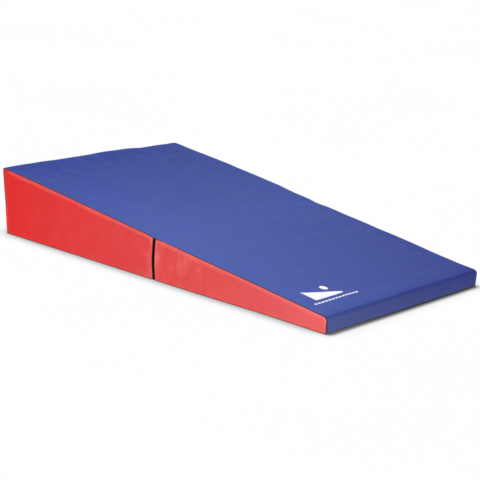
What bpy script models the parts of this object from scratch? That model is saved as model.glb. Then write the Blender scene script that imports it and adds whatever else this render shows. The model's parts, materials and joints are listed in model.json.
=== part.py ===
"""A folding incline wedge mat: two foam-filled halves that share one top sheet and fold top to top.

+X runs down the slope from the tall end to the low end, +Y runs across the mat and +Z is up.
The origin is on the floor under the fold, midway across. Every length is in metres.
Panels are flat cover pieces, each laid 0.3 mm clear of its neighbours. A zip or a handle is built in
its own local frame, whose X runs along the face it sits on, whose -Y points out of that face and
whose Z is up, and an empty then places that frame on the mat.
"""

import math

import bmesh
import bpy
from mathutils import Matrix, Vector

# Mat
LENGTH = 1.830
WIDTH = 1.220
TALL_HEIGHT = 0.305
LOW_HEIGHT = 0.070
SKIN = 0.0015            # cover vinyl with its fabric backing
CLEAR = 0.0003           # air between neighbouring pieces
FOLD_GAP = 0.006         # between the two fold faces
HINGE_LIFT = 0.004       # the fold axis stands this far over the top sheet
LOW_END_RADIUS = 0.020   # the top sheet's bend over the low end
WEDGE_EDGE = 0.018       # thin edge of each foam wedge
ARC_STEPS = 12

# Hook and loop strips on the fold faces
PILE = 0.0024
STRIP_LENGTH = 0.400
STRIP_HEIGHT = 0.050
STRIP_BASE = 0.030
STRIP_OFFSET = 0.340     # strip centre from the mat's centre line

# Zips
ZIP_HEIGHT = 0.028
ZIP_SLOT = 0.016
TALL_ZIP_RUN = 1.060
LOW_ZIP_RUN = 0.760
COIL_WIDTH = 0.0060
COIL_DEPTH = 0.0024
TAPE = 0.0006
TAPE_DEPTH = 0.0004      # tape face below the panel face
SLIDER_LENGTH = 0.012
SLIDER_WALL = 0.0012
SLIDER_LEEWAY = 0.0004
SLIDER_END = 0.020       # slider centre from the closed end of the run
SLIDER_STOP = 0.030      # slider centre from the open end of the run
LUG = 0.0011
LUG_LENGTH = 0.0040
PIVOT_STAND = 0.0020     # pull pivot above the slider's face
EYE_RADIUS = 0.0015
PIN_RADIUS = 0.0007
PIN_HOLE_RADIUS = 0.0009
PULL_LENGTH = 0.030
PULL_WIDTH = 0.0070
PULL_NECK = 0.0040
PULL_THICKNESS = 0.0014

# Handles
HANDLE_HEIGHT = 0.190
HANDLE_OFFSET = 0.300    # handle centre from the mat's centre line
HANDLE_SPAN = 0.150      # between the two sewn tabs
WEBBING_WIDTH = 0.038
WEBBING = 0.0024
TAB_LENGTH = 0.046
TAB_CORNER = 0.003
GRIP_PIVOT = 0.003       # grip axis in front of the panel face
GRIP_BOW = 0.017
GRIP_RAMP = 0.030
GRIP_WIDTH = 0.018
GRIP_THICKNESS = 0.004
GRIP_END_WIDTH = 0.004
GRIP_END_THICKNESS = 0.003
GRIP_DROOP = math.radians(62)
GRIP_STATIONS = 14

SLOPE = math.atan2(TALL_HEIGHT - LOW_HEIGHT, LENGTH)
INSIDE = SKIN + CLEAR    # where the foam and the inner edges of panels begin
TALL_END = -LENGTH / 2
LOW_END = LENGTH / 2
NEAR_SIDE = -WIDTH / 2
FAR_SIDE = WIDTH / 2
TALL_FOLD = -FOLD_GAP / 2
LOW_FOLD = FOLD_GAP / 2


def linear(red, green, blue):
    """The linear colour of an sRGB colour given in 0 to 255."""
    def channel(value):
        value /= 255
        return value / 12.92 if value <= 0.04045 else ((value + 0.055) / 1.055) ** 2.4
    return (channel(red), channel(green), channel(blue), 1.0)


def make_material(name, colour, roughness, metallic=0.0):
    material = bpy.data.materials.new(name)
    material.use_nodes = True
    shader = material.node_tree.nodes["Principled BSDF"]
    shader.inputs["Base Color"].default_value = colour
    shader.inputs["Roughness"].default_value = roughness
    shader.inputs["Metallic"].default_value = metallic
    return material


def make_materials():
    return {
        "blue_vinyl": make_material("blue_vinyl", linear(72, 86, 156), 0.45),
        "red_vinyl": make_material("red_vinyl", linear(228, 70, 68), 0.45),
        "black_vinyl": make_material("black_vinyl", linear(28, 28, 30), 0.60),
        "foam": make_material("foam", linear(232, 232, 226), 0.90),
        "hook_tape": make_material("hook_tape", linear(22, 22, 24), 0.80),
        "loop_tape": make_material("loop_tape", linear(34, 34, 36), 0.95),
        "webbing": make_material("webbing", linear(26, 26, 28), 0.80),
        "zip_tape": make_material("zip_tape", linear(24, 24, 26), 0.85),
        "zip_coil": make_material("zip_coil", linear(30, 30, 32), 0.40),
        "zip_metal": make_material("zip_metal", linear(176, 178, 182), 0.30, 1.0),
    }


def clear_scene():
    for item in list(bpy.data.objects):
        bpy.data.objects.remove(item)


def place_empty(name, location, rotation=0.0, parent=None):
    """An empty at a place in its parent's frame, turned about Z."""
    empty = bpy.data.objects.new(name, None)
    bpy.context.scene.collection.objects.link(empty)
    empty.parent = parent
    empty.location = location
    empty.rotation_euler = (0, 0, rotation)
    return empty


def add_object(name, shape, material, parent):
    """Turns a bmesh into an object that hangs on its parent empty."""
    bmesh.ops.recalc_face_normals(shape, faces=shape.faces)
    mesh = bpy.data.meshes.new(name)
    shape.to_mesh(mesh)
    shape.free()
    if material:
        mesh.materials.append(material)
    item = bpy.data.objects.new(name, mesh)
    bpy.context.scene.collection.objects.link(item)
    item.parent = parent
    return item


def shade_round(item):
    item.data.shade_smooth()
    item.data.set_sharp_from_angle(angle=math.radians(35))


def extruded(outline, direction):
    """A bmesh solid made by pushing a flat outline along a direction."""
    shape = bmesh.new()
    face = shape.faces.new([shape.verts.new(point) for point in outline])
    pushed = bmesh.ops.extrude_face_region(shape, geom=[face])["geom"]
    moved = [part for part in pushed if isinstance(part, bmesh.types.BMVert)]
    bmesh.ops.translate(shape, verts=moved, vec=direction)
    return shape


def profile_panel(name, outline, low, high, material, section):
    """A piece whose side outline is (x, z) points in the mat's frame, reaching from y = low to y = high."""
    shape = extruded([(x, low, z) for x, z in outline], (0, high - low, 0))
    item = add_object(name, shape, material, section)
    item.location = -section.location
    return item


def block(name, low, high, material, parent):
    """A box between two corners, given in its parent's frame."""
    outline = [(low[0], low[1], low[2]), (high[0], low[1], low[2]),
               (high[0], low[1], high[2]), (low[0], low[1], high[2])]
    return add_object(name, extruded(outline, (0, high[1] - low[1], 0)), material, parent)


def upright_rod(name, radius, height, centre, material, parent, sides=16):
    """A round rod along Z in its parent's frame."""
    shape = bmesh.new()
    bmesh.ops.create_cone(shape, cap_ends=True, segments=sides, radius1=radius, radius2=radius,
                          depth=height, matrix=Matrix.Translation(centre))
    return add_object(name, shape, material, parent)


def combine(item, helper, operation):
    """Adds a helper solid to an item, or cuts it away, and hides the helper."""
    helper.hide_render = True
    helper.display_type = "WIRE"
    modifier = item.modifiers.new(f"{operation.lower()} {helper.name}", "BOOLEAN")
    modifier.operation = operation
    modifier.object = helper
    modifier.solver = "EXACT"


def top_height(x, depth=0.0):
    """Height of the sloping surface at x, sunk square to the slope by depth."""
    share = (x - TALL_END) / LENGTH
    return TALL_HEIGHT + (LOW_HEIGHT - TALL_HEIGHT) * share - depth / math.cos(SLOPE)


def low_end_bend(depth):
    """Points round the low end's bend at a depth below the top sheet, from the slope to the upright face."""
    centre_x = LOW_END - LOW_END_RADIUS
    centre_z = top_height(centre_x, LOW_END_RADIUS)
    radius = LOW_END_RADIUS - depth
    points = []
    for step in range(ARC_STEPS + 1):
        angle = (math.pi / 2 - SLOPE) * (1 - step / ARC_STEPS)
        points.append((centre_x + radius * math.cos(angle), centre_z + radius * math.sin(angle)))
    return points


def tall_side_outline():
    left = TALL_END + INSIDE
    right = TALL_FOLD - INSIDE
    right_top, left_top = top_height(right, INSIDE), top_height(left, INSIDE)
    return [(left, INSIDE), (right, INSIDE), (right, right_top), (left, left_top)]


def low_side_outline():
    left = LOW_FOLD + INSIDE
    bend = low_end_bend(INSIDE)
    return [(left, INSIDE), (LOW_END - INSIDE, INSIDE)] + bend[::-1] + [(left, top_height(left, INSIDE))]


def clipped(outline, height, above):
    """The part of an outline above or below a level line, whose crossings become corners."""
    kept = []
    for (x1, z1), (x2, z2) in zip(outline, outline[1:] + outline[:1]):
        inside = z1 > height if above else z1 < height
        if inside:
            kept.append((x1, z1))
        if (z1 - height) * (z2 - height) < 0:
            kept.append((x1 + (x2 - x1) * (height - z1) / (z2 - z1), height))
    return kept


def add_foam(half, outline, joint_height, section, materials):
    """A flat slab and the sloping wedge glued on it, which together fill one half."""
    reach = FAR_SIDE - INSIDE
    slab = clipped(outline, joint_height - CLEAR / 2, above=False)
    wedge = clipped(outline, joint_height + CLEAR / 2, above=True)
    profile_panel(f"{half}_foam_slab", slab, -reach, reach, materials["foam"], section)
    profile_panel(f"{half}_foam_wedge", wedge, -reach, reach, materials["foam"], section)


def add_side_panels(half, outline, section, materials):
    red = materials["red_vinyl"]
    near = profile_panel(f"{half}_near_side_panel", outline, NEAR_SIDE, NEAR_SIDE + SKIN, red, section)
    far = profile_panel(f"{half}_far_side_panel", outline, FAR_SIDE - SKIN, FAR_SIDE, red, section)
    return near, far


def upright_panel(name, x_low, x_high, material, section):
    """A panel across the whole mat that stands on the bottom panel and stops under the top sheet."""
    outline = [(x_low, INSIDE), (x_high, INSIDE), (x_high, top_height(x_high, INSIDE)),
               (x_low, top_height(x_low, INSIDE))]
    return profile_panel(name, outline, NEAR_SIDE, FAR_SIDE, material, section)


def bottom_panel(name, x_low, x_high, section, materials):
    outline = [(x_low, 0), (x_high, 0), (x_high, SKIN), (x_low, SKIN)]
    profile_panel(name, outline, NEAR_SIDE, FAR_SIDE, materials["black_vinyl"], section)


def add_tall_top_panel(section, materials):
    right = -CLEAR / 2
    outline = [(TALL_END, top_height(TALL_END, SKIN)), (right, top_height(right, SKIN)),
               (right, top_height(right)), (TALL_END, top_height(TALL_END))]
    profile_panel("tall_top_panel", outline, NEAR_SIDE, FAR_SIDE, materials["blue_vinyl"], section)


def add_low_top_panel(section, materials):
    """The top sheet's lower half, which bends down over the low end as far as the bottom panel."""
    left = CLEAR / 2
    outer = [(left, top_height(left))] + low_end_bend(0.0) + [(LOW_END, INSIDE)]
    inner = [(left, top_height(left, SKIN))] + low_end_bend(SKIN) + [(LOW_END - SKIN, INSIDE)]
    outline = outer[::-1] + inner
    panel = profile_panel("low_top_panel", outline, NEAR_SIDE, FAR_SIDE, materials["blue_vinyl"], section)
    shade_round(panel)


def add_strips(half, face, out, material, section):
    """Two hook or loop strips on a fold face. out is +1 or -1, the way that the face looks along X."""
    near_x = face + out * CLEAR
    far_x = near_x + out * PILE
    x_low, x_high = sorted((near_x, far_x))
    outline = [(x_low, STRIP_BASE), (x_high, STRIP_BASE), (x_high, STRIP_BASE + STRIP_HEIGHT),
               (x_low, STRIP_BASE + STRIP_HEIGHT)]
    for side, centre in (("near", -STRIP_OFFSET), ("far", STRIP_OFFSET)):
        profile_panel(f"{half}_{side}", outline, centre - STRIP_LENGTH / 2, centre + STRIP_LENGTH / 2,
                      material, section)


def add_zip_tapes(half, run, frame, materials):
    inner = COIL_WIDTH / 2 + CLEAR
    outer = ZIP_SLOT / 2 - CLEAR
    for side, low, high in (("upper", inner, outer), ("lower", -outer, -inner)):
        block(f"{half}_zip_{side}_tape", (-run / 2 + CLEAR, TAPE_DEPTH, low),
              (run / 2 - CLEAR, TAPE_DEPTH + TAPE, high), materials["zip_tape"], frame)


def add_zip_coil(half, run, frame, materials):
    """The closed coil, a flattened bar that stands half proud of the tapes."""
    sides = 12
    outline = []
    for step in range(sides):
        angle = 2 * math.pi * (step + 0.5) / sides
        outline.append((-run / 2 + CLEAR, COIL_DEPTH / 2 * math.cos(angle), COIL_WIDTH / 2 * math.sin(angle)))
    coil = add_object(f"{half}_zip_coil", extruded(outline, (run - 2 * CLEAR, 0, 0)),
                      materials["zip_coil"], frame)
    shade_round(coil)


def slider_face():
    """Local Y of the slider's front face."""
    return -(COIL_DEPTH / 2 + SLIDER_LEEWAY + SLIDER_WALL)


def add_slider(half, pivot, materials):
    """A channel that hugs the coil, with two lugs for the pull. Its origin is on the pull's pivot."""
    face = slider_face()
    back = TAPE_DEPTH - CLEAR
    roof = face + SLIDER_WALL
    inner = COIL_WIDTH / 2 + SLIDER_LEEWAY
    outer = inner + SLIDER_WALL
    pivot_depth = face - PIVOT_STAND
    section = [(face, -outer), (back, -outer), (back, -inner), (roof, -inner),
               (roof, inner), (back, inner), (back, outer), (face, outer)]
    outline = [(-SLIDER_LENGTH / 2, y - pivot_depth, z) for y, z in section]
    slider = add_object(f"{half}_zip_slider", extruded(outline, (SLIDER_LENGTH, 0, 0)),
                        materials["zip_metal"], pivot)
    lug_inner = PULL_NECK / 2 + CLEAR
    lug_top = -(PIN_HOLE_RADIUS + LUG)
    for name, low, high in (("upper", lug_inner, lug_inner + LUG), ("lower", -lug_inner - LUG, -lug_inner)):
        lug = block(f"{half}_slider_{name}_lug", (-LUG_LENGTH / 2, lug_top, low),
                    (LUG_LENGTH / 2, PIVOT_STAND + SLIDER_WALL / 2, high), None, pivot)
        combine(slider, lug, "UNION")
    hole = upright_rod(f"{half}_slider_pin_hole", PIN_HOLE_RADIUS, 2 * outer, (0, 0, 0), None, pivot)
    combine(slider, hole, "DIFFERENCE")


def pull_outline():
    """The pull's plan: a narrow neck at the pivot that widens into a tab with a round end."""
    neck = PULL_NECK / 2
    half = PULL_WIDTH / 2
    shoulder = LUG_LENGTH
    centre = PULL_LENGTH - half
    upper = [(0, neck), (shoulder, neck), (shoulder + half - neck, half)]
    end = []
    for step in range(9):
        angle = math.pi / 2 - math.pi * step / 8
        end.append((centre + half * math.cos(angle), half * math.sin(angle)))
    lower = [(x, -z) for x, z in reversed(upper)]
    return upper + end + lower


def add_pull(half, pivot, materials):
    """The pull lies back along the zip, and its cross pin turns in the slider's lugs."""
    outline = [(-x, -PULL_THICKNESS / 2, z) for x, z in pull_outline()]
    shape = extruded(outline, (0, PULL_THICKNESS, 0))
    pull = add_object(f"{half}_zip_pull", shape, materials["zip_metal"], pivot)
    eye = upright_rod(f"{half}_pull_eye", EYE_RADIUS, PULL_NECK, (0, 0, 0), None, pivot)
    pin = upright_rod(f"{half}_pull_pin", PIN_RADIUS, PULL_NECK + 2 * (CLEAR + LUG), (0, 0, 0), None, pivot)
    combine(pull, eye, "UNION")
    combine(pull, pin, "UNION")


def add_zip(half, panel, run, frame, materials):
    """Cuts a slot in the panel and fills it with tapes, a coil, a slider and its pull."""
    slot_low, slot_high = (-run / 2, -SKIN, -ZIP_SLOT / 2), (run / 2, 2 * SKIN, ZIP_SLOT / 2)
    slot = block(f"{half}_zip_slot", slot_low, slot_high, None, frame)
    combine(panel, slot, "DIFFERENCE")
    add_zip_tapes(half, run, frame, materials)
    add_zip_coil(half, run, frame, materials)
    place = (run / 2 - SLIDER_END, slider_face() - PIVOT_STAND, 0)
    pivot = place_empty(f"{half}_zip_pivot", place, parent=frame)
    add_slider(half, pivot, materials)
    add_pull(half, pivot, materials)


def add_handle_tabs(side, frame, materials):
    for end, sign in (("inner", 1), ("outer", -1)):
        start = sign * HANDLE_SPAN / 2
        finish = start + sign * TAB_LENGTH
        low, high = sorted((start, finish))
        tab = block(f"{side}_handle_{end}_tab", (low, -CLEAR - WEBBING, -WEBBING_WIDTH / 2),
                    (high, -CLEAR, WEBBING_WIDTH / 2), materials["webbing"], frame)
        corners = tab.modifiers.new("rounded corners", "BEVEL")
        corners.width = WEBBING / 3
        corners.segments = 2


def grip_station(x):
    """How far the grip stands off its axis at x, and its width and thickness there."""
    run = (HANDLE_SPAN / 2 - CLEAR - abs(x)) / GRIP_RAMP
    run = min(max(run, 0.0), 1.0)
    rise = run * run * (3 - 2 * run)
    width = GRIP_END_WIDTH + (GRIP_WIDTH - GRIP_END_WIDTH) * rise
    thickness = GRIP_END_THICKNESS + (GRIP_THICKNESS - GRIP_END_THICKNESS) * rise
    return GRIP_BOW * rise, width, thickness


def grip_positions():
    """Station places from one tab to the other: close together on the two ramps, far apart between."""
    reach = HANDLE_SPAN / 2 - CLEAR
    ramp = [reach - GRIP_RAMP * step / (GRIP_STATIONS / 2) for step in range(GRIP_STATIONS // 2 + 1)]
    return [-x for x in ramp] + ramp[::-1]


def add_grip(side, pivot, materials):
    """The webbing grip, a loft of rounded rectangles that droops from its axis between the tabs."""
    shape = bmesh.new()
    turn = Matrix.Rotation(GRIP_DROOP, 3, "X")
    rings = []
    for x in grip_positions():
        bow, width, thickness = grip_station(x)
        chamfer = thickness / 4
        half_width = width / 2
        half_thick = thickness / 2
        corners = [(half_thick, half_width - chamfer), (half_thick - chamfer, half_width),
                   (chamfer - half_thick, half_width), (-half_thick, half_width - chamfer),
                   (-half_thick, chamfer - half_width), (chamfer - half_thick, -half_width),
                   (half_thick - chamfer, -half_width), (half_thick, chamfer - half_width)]
        rings.append([shape.verts.new(turn @ Vector((x, out - bow, up))) for out, up in corners])
    for ring, following in zip(rings, rings[1:]):
        for index in range(len(ring)):
            other = (index + 1) % len(ring)
            shape.faces.new((ring[index], ring[other], following[other], following[index]))
    shape.faces.new(rings[0])
    shape.faces.new(rings[-1])
    grip = add_object(f"{side}_handle_grip", shape, materials["webbing"], pivot)
    shade_round(grip)


def add_handle(side, across, end_face, materials):
    """A webbing handle on the tall end at y = across, sewn down by two tabs, with the grip between them."""
    frame = place_empty(f"{side}_handle_frame", (-across, 0, HANDLE_HEIGHT), parent=end_face)
    pivot = place_empty(f"{side}_handle_pivot", (0, -GRIP_PIVOT, 0), parent=frame)
    add_handle_tabs(side, frame, materials)
    add_grip(side, pivot, materials)


def build_tall_half(materials):
    section = place_empty("tall_half", Vector((0, 0, 0)))
    outline = tall_side_outline()
    joint_height = top_height(0, SKIN) - WEDGE_EDGE
    add_foam("tall", outline, joint_height, section, materials)
    add_tall_top_panel(section, materials)
    add_side_panels("tall", outline, section, materials)
    end_panel = upright_panel("tall_end_panel", TALL_END, TALL_END + SKIN, materials["red_vinyl"], section)
    upright_panel("tall_fold_panel", TALL_FOLD - SKIN, TALL_FOLD, materials["black_vinyl"], section)
    bottom_panel("tall_bottom_panel", TALL_END, TALL_FOLD, section, materials)
    add_strips("hook_strip", TALL_FOLD, 1, materials["hook_tape"], section)
    end_face = place_empty("tall_end_face", (TALL_END, 0, 0), -math.pi / 2, section)
    zip_frame = place_empty("tall_zip_frame", (0, 0, ZIP_HEIGHT), parent=end_face)
    add_zip("tall", end_panel, TALL_ZIP_RUN, zip_frame, materials)
    add_handle("near", -HANDLE_OFFSET, end_face, materials)
    add_handle("far", HANDLE_OFFSET, end_face, materials)


def build_low_half(materials):
    section = place_empty("low_half", Vector((0, 0, top_height(0) + HINGE_LIFT)))
    outline = low_side_outline()
    joint_height = LOW_HEIGHT - SKIN - WEDGE_EDGE
    add_foam("low", outline, joint_height, section, materials)
    add_low_top_panel(section, materials)
    far_panel = add_side_panels("low", outline, section, materials)[1]
    upright_panel("low_fold_panel", LOW_FOLD, LOW_FOLD + SKIN, materials["black_vinyl"], section)
    bottom_panel("low_bottom_panel", LOW_FOLD, LOW_END, section, materials)
    add_strips("loop_strip", LOW_FOLD, -1, materials["loop_tape"], section)
    far_face = place_empty("low_far_face", (0, FAR_SIDE, -section.location.z), math.pi, section)
    zip_frame = place_empty("low_zip_frame", (-LENGTH / 4, 0, ZIP_HEIGHT), parent=far_face)
    add_zip("low", far_panel, LOW_ZIP_RUN, zip_frame, materials)


def main():
    clear_scene()
    materials = make_materials()
    build_tall_half(materials)
    build_low_half(materials)


main()
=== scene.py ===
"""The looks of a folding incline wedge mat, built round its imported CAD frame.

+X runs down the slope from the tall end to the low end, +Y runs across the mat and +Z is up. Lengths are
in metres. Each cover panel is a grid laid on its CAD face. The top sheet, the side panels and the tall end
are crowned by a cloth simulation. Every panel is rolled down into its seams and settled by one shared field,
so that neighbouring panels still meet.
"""

import json
import math

import bmesh
import bpy
import numpy as np
from mathutils import Matrix, Vector


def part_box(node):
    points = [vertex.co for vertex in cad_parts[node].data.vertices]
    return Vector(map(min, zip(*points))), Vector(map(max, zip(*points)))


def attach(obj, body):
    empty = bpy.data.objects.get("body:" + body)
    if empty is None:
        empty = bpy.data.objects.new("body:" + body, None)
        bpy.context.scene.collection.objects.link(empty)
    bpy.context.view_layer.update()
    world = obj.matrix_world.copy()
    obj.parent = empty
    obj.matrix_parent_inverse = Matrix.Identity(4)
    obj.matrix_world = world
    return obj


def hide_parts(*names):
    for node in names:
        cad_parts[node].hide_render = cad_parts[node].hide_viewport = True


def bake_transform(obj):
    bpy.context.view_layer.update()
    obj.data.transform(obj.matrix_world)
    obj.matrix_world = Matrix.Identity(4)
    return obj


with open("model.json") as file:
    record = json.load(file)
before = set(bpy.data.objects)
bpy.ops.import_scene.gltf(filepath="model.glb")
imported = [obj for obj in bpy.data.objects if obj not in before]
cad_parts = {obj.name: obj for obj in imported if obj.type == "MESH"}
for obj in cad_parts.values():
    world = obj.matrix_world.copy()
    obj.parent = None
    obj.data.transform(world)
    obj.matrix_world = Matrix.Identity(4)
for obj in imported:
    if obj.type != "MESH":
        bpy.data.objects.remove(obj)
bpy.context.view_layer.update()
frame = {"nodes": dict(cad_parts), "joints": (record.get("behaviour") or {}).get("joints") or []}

# Cover
SINK = {"top": 0.0017, "side": 0.0042, "end": 0.0030, "fold": 0.0041, "bottom": 0.0016}
ROLL = {"top": 0.008, "side": 0.017, "end": 0.013, "fold": 0.007, "bottom": 0.008}
VINYL = 0.0012
VINYL_EDGE = 0.0003      # cover thickness where it turns into a seam
CELL = 0.010
LOW_END_RADIUS = 0.020   # the top sheet's bend over the low end
FOLD_DROP = 0.0035       # the fold faces stop this far under the top sheet
HEM = 0.0009             # a zip slot's edges turn in by this much
HEM_REACH = 0.004
CROWN = 0.0026
SIDE_CROWN = 0.0016

# Settling of the stuffed cover
SIDE_LEAN = 0.008        # the near side leans out at the top, and FOOT_SHARE of it in at the foot
FOOT_SHARE = 0.6
SIDE_REACH = (0.07, 0.32)      # how far across the mat that lean goes, at the foot and at the top
NEAR_BOW = 0.008         # the low half's near side is drawn in along its middle, mostly at the foot
END_LEAN = 0.021         # the near tall corner leans out at the top
END_TUCK = 0.020         # and is drawn in at the foot
END_REACH = (0.075, 0.235)     # how far across the tall end that lean goes, at the foot and at the top
END_DEPTH = 0.25         # and how far down the slope
END_LIP = 0.006          # the tall end's rim hangs out past its face, over LIP_SHARE of its height
LIP_SHARE = 0.28
FAR_LEAN = 0.007         # the tall half's far side leans out, within FAR_REACH of it
FAR_REACH = 0.25
FAR_RUN = 0.30           # that lean grows over this distance from the fold
FAR_LIFT = 0.0028        # and lifts the far rim
FAR_TUCK = 0.010         # the far low corner's foot is drawn in
CORNER_PULL = 0.0016
CORNER_REACH = 0.012
EAR = 0.0035             # the far low corner's seams stand out in a small ear
EAR_REACH = 0.030
FOLD_WIDTH = 0.040       # the fold's own shape fades within this distance
FOLD_DIP = 0.0028        # the top sheet dips over the fold
FOLD_SHIFT = 0.0072      # the fold's near edge lies a little uphill, but for its foot
FOLD_BOW = 0.0015
FOLD_SKEW = 0.005
FOLD_BEND_REACH = 0.068  # the bow has gone before the hook and loop strips begin
LOW_FLARE = 0.002        # the low end's foot slides out, more so on the far side
FAR_FLARE = 0.006
RIM_RISE = 0.0062        # the top swells along the tall end's rim
RIM_PEAK = 0.0026
RIM_ROUND = 0.0030       # the far and tall rims turn down over RIM_REACH
RIM_REACH = 0.030
FAR_RISE = 0.0036        # the far rim rises between two dips of (x, share of FAR_DIP)
FAR_DIP = 0.0046
FAR_DIPS = ((-0.79, 1.0), (0.76, 0.8))
SEAM_WAVE = 0.0010
FOOT_PRESS = 0.0048      # the mat's weight squares its long bottom seams against the floor
FOOT_REACH = 0.0042

# Cloth simulation
CLOTH_CELL = 0.020
CLOTH_FRAMES = 24
CLOTH_PRESSURE = 0.3

# Light
FLOOR_GLOW = 0.85        # the floor as a light, against 1 to the camera
WORLD_DIM = 0.45
WORLD_BRIGHT = 1.12
WORLD_FROM = (-0.25, -0.55, 0.80)

# Camera, at the angles of the object's photograph
CAMERA_ANGLES = (36.02, 14.58, 5.78)     # azimuth from the near side, elevation and roll
CAMERA_AIM = (0.0998, -0.132, 0.1308)
CAMERA_DISTANCE = 7.612
CAMERA_LENS = 126.86

# Printed mark
MARK_SIDES = (-0.492, -0.292)            # across the mat
MARK_ENDS = (0.674, 0.778)               # down the slope
BALL_RADIUS = 0.019
DASHES = 13
DASH_PITCH = 0.0250
DASH_SIZE = (0.009, 0.0175)

# Stitches and small goods
STITCH_PITCH = 0.0050
STITCH_LENGTH = 0.0038
THREAD = 0.00034
STRIP_STITCH_INSET = 0.003
ZIP_STITCH_MARGIN = 0.0045
COIL_PITCH = 0.0019
COIL_WIRE = 0.00052
STRAP_WIDTHS = (0.0050, 0.0195)          # of a handle's strap, at its tab and folded in the hand
STRAP_THICKNESSES = (0.0028, 0.0048)
STRAP_BOW = 0.017

# Foam
FOAM_GAP = 0.002         # between the foam and the cover, top and bottom
FOAM_INSET = 0.0045
FOAM_EDGE = 0.007        # radius of its edges along the sides
FOAM_CORNER = 0.010

TALL_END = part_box("tall_end_panel")[0].x
LOW_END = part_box("low_top_panel")[1].x
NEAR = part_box("tall_near_side_panel")[0].y
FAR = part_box("tall_far_side_panel")[1].y
TALL_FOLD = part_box("tall_fold_panel")[1].x
LOW_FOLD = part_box("low_fold_panel")[0].x
TALL_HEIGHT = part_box("tall_top_panel")[1].z
FOLD_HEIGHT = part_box("low_top_panel")[1].z
SPANS = {"tall": (TALL_END, TALL_FOLD), "low": (LOW_FOLD, LOW_END)}
LENGTH = LOW_END - TALL_END
WIDTH = FAR - NEAR
SLOPE = math.atan2(TALL_HEIGHT - FOLD_HEIGHT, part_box("low_top_panel")[0].x - TALL_END)
EDGE_STEPS = np.cumsum([0, 0.0003, 0.0005, 0.0008, 0.0013, 0.0021, 0.0034, 0.0055, 0.0080])


def top_height(x):
    """Height of the sharp-edged mat's slope at x."""
    return TALL_HEIGHT - (x - TALL_END) * math.tan(SLOPE)


BEND_X = LOW_END - LOW_END_RADIUS
BEND_Z = top_height(BEND_X) - LOW_END_RADIUS / math.cos(SLOPE)


def smooth(value):
    value = np.clip(value, 0, 1)
    return value * value * (3 - 2 * value)


def ripple(place, *waves):
    """Sum of sines of (wavelength, phase), between about -1 and 1."""
    return sum(np.sin(2 * math.pi * place / length + phase) for length, phase in waves) / len(waves)


def across(start, stop, cell=CELL):
    """Places between two edges: tiny steps that grow at each edge, then even cells. Edges may be arrays."""
    start, stop = np.broadcast_arrays(np.asarray(start, float), np.asarray(stop, float))
    span = stop - start
    steps = EDGE_STEPS * min(1, 0.45 * span.min() / EDGE_STEPS[-1])
    left = start[..., None] + steps
    right = stop[..., None] - steps[::-1]
    count = max(2, math.ceil((span.max() - 2 * steps[-1]) / cell))
    share = np.linspace(0, 1, count + 1)[1:-1]
    middle = left[..., -1:] + (right[..., :1] - left[..., -1:]) * share
    return np.concatenate([left, middle, right], -1)


def joined(*runs):
    """Runs of places that share their end values, as one run."""
    return np.concatenate([runs[0]] + [run[..., 1:] for run in runs[1:]], -1)


# ---------------------------------------------------------------- shared shape of the stuffed cover

def corner_pull(points):
    """Draws the mat's outer corners in a little."""
    x, y, z = points[..., 0], points[..., 1], points[..., 2]
    pull = np.zeros(points.shape)
    for corner_x, inward in ((TALL_END, 1), (LOW_END, -1)):
        for corner_y in (NEAR, FAR):
            for corner_z in (0.0, float(top_height(corner_x))):
                away = (x - corner_x) ** 2 + (y - corner_y) ** 2 + (z - corner_z) ** 2
                pulled = 0.3 * CORNER_PULL if corner_x > 0 else CORNER_PULL
                share = np.exp(-away / CORNER_REACH ** 2) * pulled
                pull[..., 0] += share * inward
                pull[..., 1] -= share * math.copysign(1, corner_y)
                pull[..., 2] += share * (0.8 if corner_z == 0 else -0.6)
    away = (x - LOW_END) ** 2 + (y - FAR) ** 2 + (z - float(top_height(LOW_END))) ** 2
    ear = EAR * np.exp(-away / EAR_REACH ** 2)
    pull[..., 0] += ear
    pull[..., 2] += 0.35 * ear
    return pull


def rising(value, edge, reach):
    """0 up to reach before the edge, then smoothly 1 at the edge."""
    return smooth((value - edge + reach) / reach)


def falling(value, edge, reach):
    """1 at the edge, then smoothly 0 at reach beyond it."""
    return 1 - smooth((value - edge) / reach)


def between(share, ends):
    return ends[0] + (ends[1] - ends[0]) * share


def leaning(x, y, level):
    """Shift of the near side, the tall end and the tall half's far side, which lean."""
    swing = 2 * level - 1
    uphill = np.clip((LOW_END - x) / LENGTH, 0, 1) ** 1.2
    near = falling(y, NEAR, between(level, SIDE_REACH))
    near_shift = SIDE_LEAN * uphill * np.where(swing > 0, swing, FOOT_SHARE * swing) * near
    bow = NEAR_BOW * (1 - 0.65 * level) * np.exp(-((x - 0.60) / 0.22) ** 2) * falling(y, NEAR, 0.12)
    corner = falling(y, NEAR, between(level, END_REACH))
    tilt = np.where(swing > 0, END_LEAN, END_TUCK) * swing
    lip = END_LIP * rising(level, 1, LIP_SHARE)
    end_shift = (lip + (tilt - lip) * corner) * falling(x, TALL_END, END_DEPTH)
    far = rising(y, FAR, FAR_REACH) * smooth(-x / FAR_RUN)
    lift = FAR_LIFT * level ** 2 * far * smooth((x - TALL_END) / 0.2)
    return np.stack([-end_shift, FAR_LEAN * swing * far - near_shift + bow, lift], -1)


def spreading(x, y, z, level):
    """Shift of the low end's foot and of the long bottom seams, which the floor squares."""
    flare = (LOW_FLARE + FAR_FLARE * smooth((y - NEAR) / 0.7)) * (1 - level) * rising(x, LOW_END, 0.06)
    tuck = FAR_TUCK * (1 - level) * rising(y, FAR, 0.15) * rising(x, LOW_END, 0.25)
    foot = FOOT_PRESS * np.exp(-np.clip(z, 0, None) / FOOT_REACH) * smooth((np.abs(y) - FAR + 0.020) / 0.014)
    return np.stack([flare, np.sign(y) * foot - tuck, 0 * z], -1)


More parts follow.
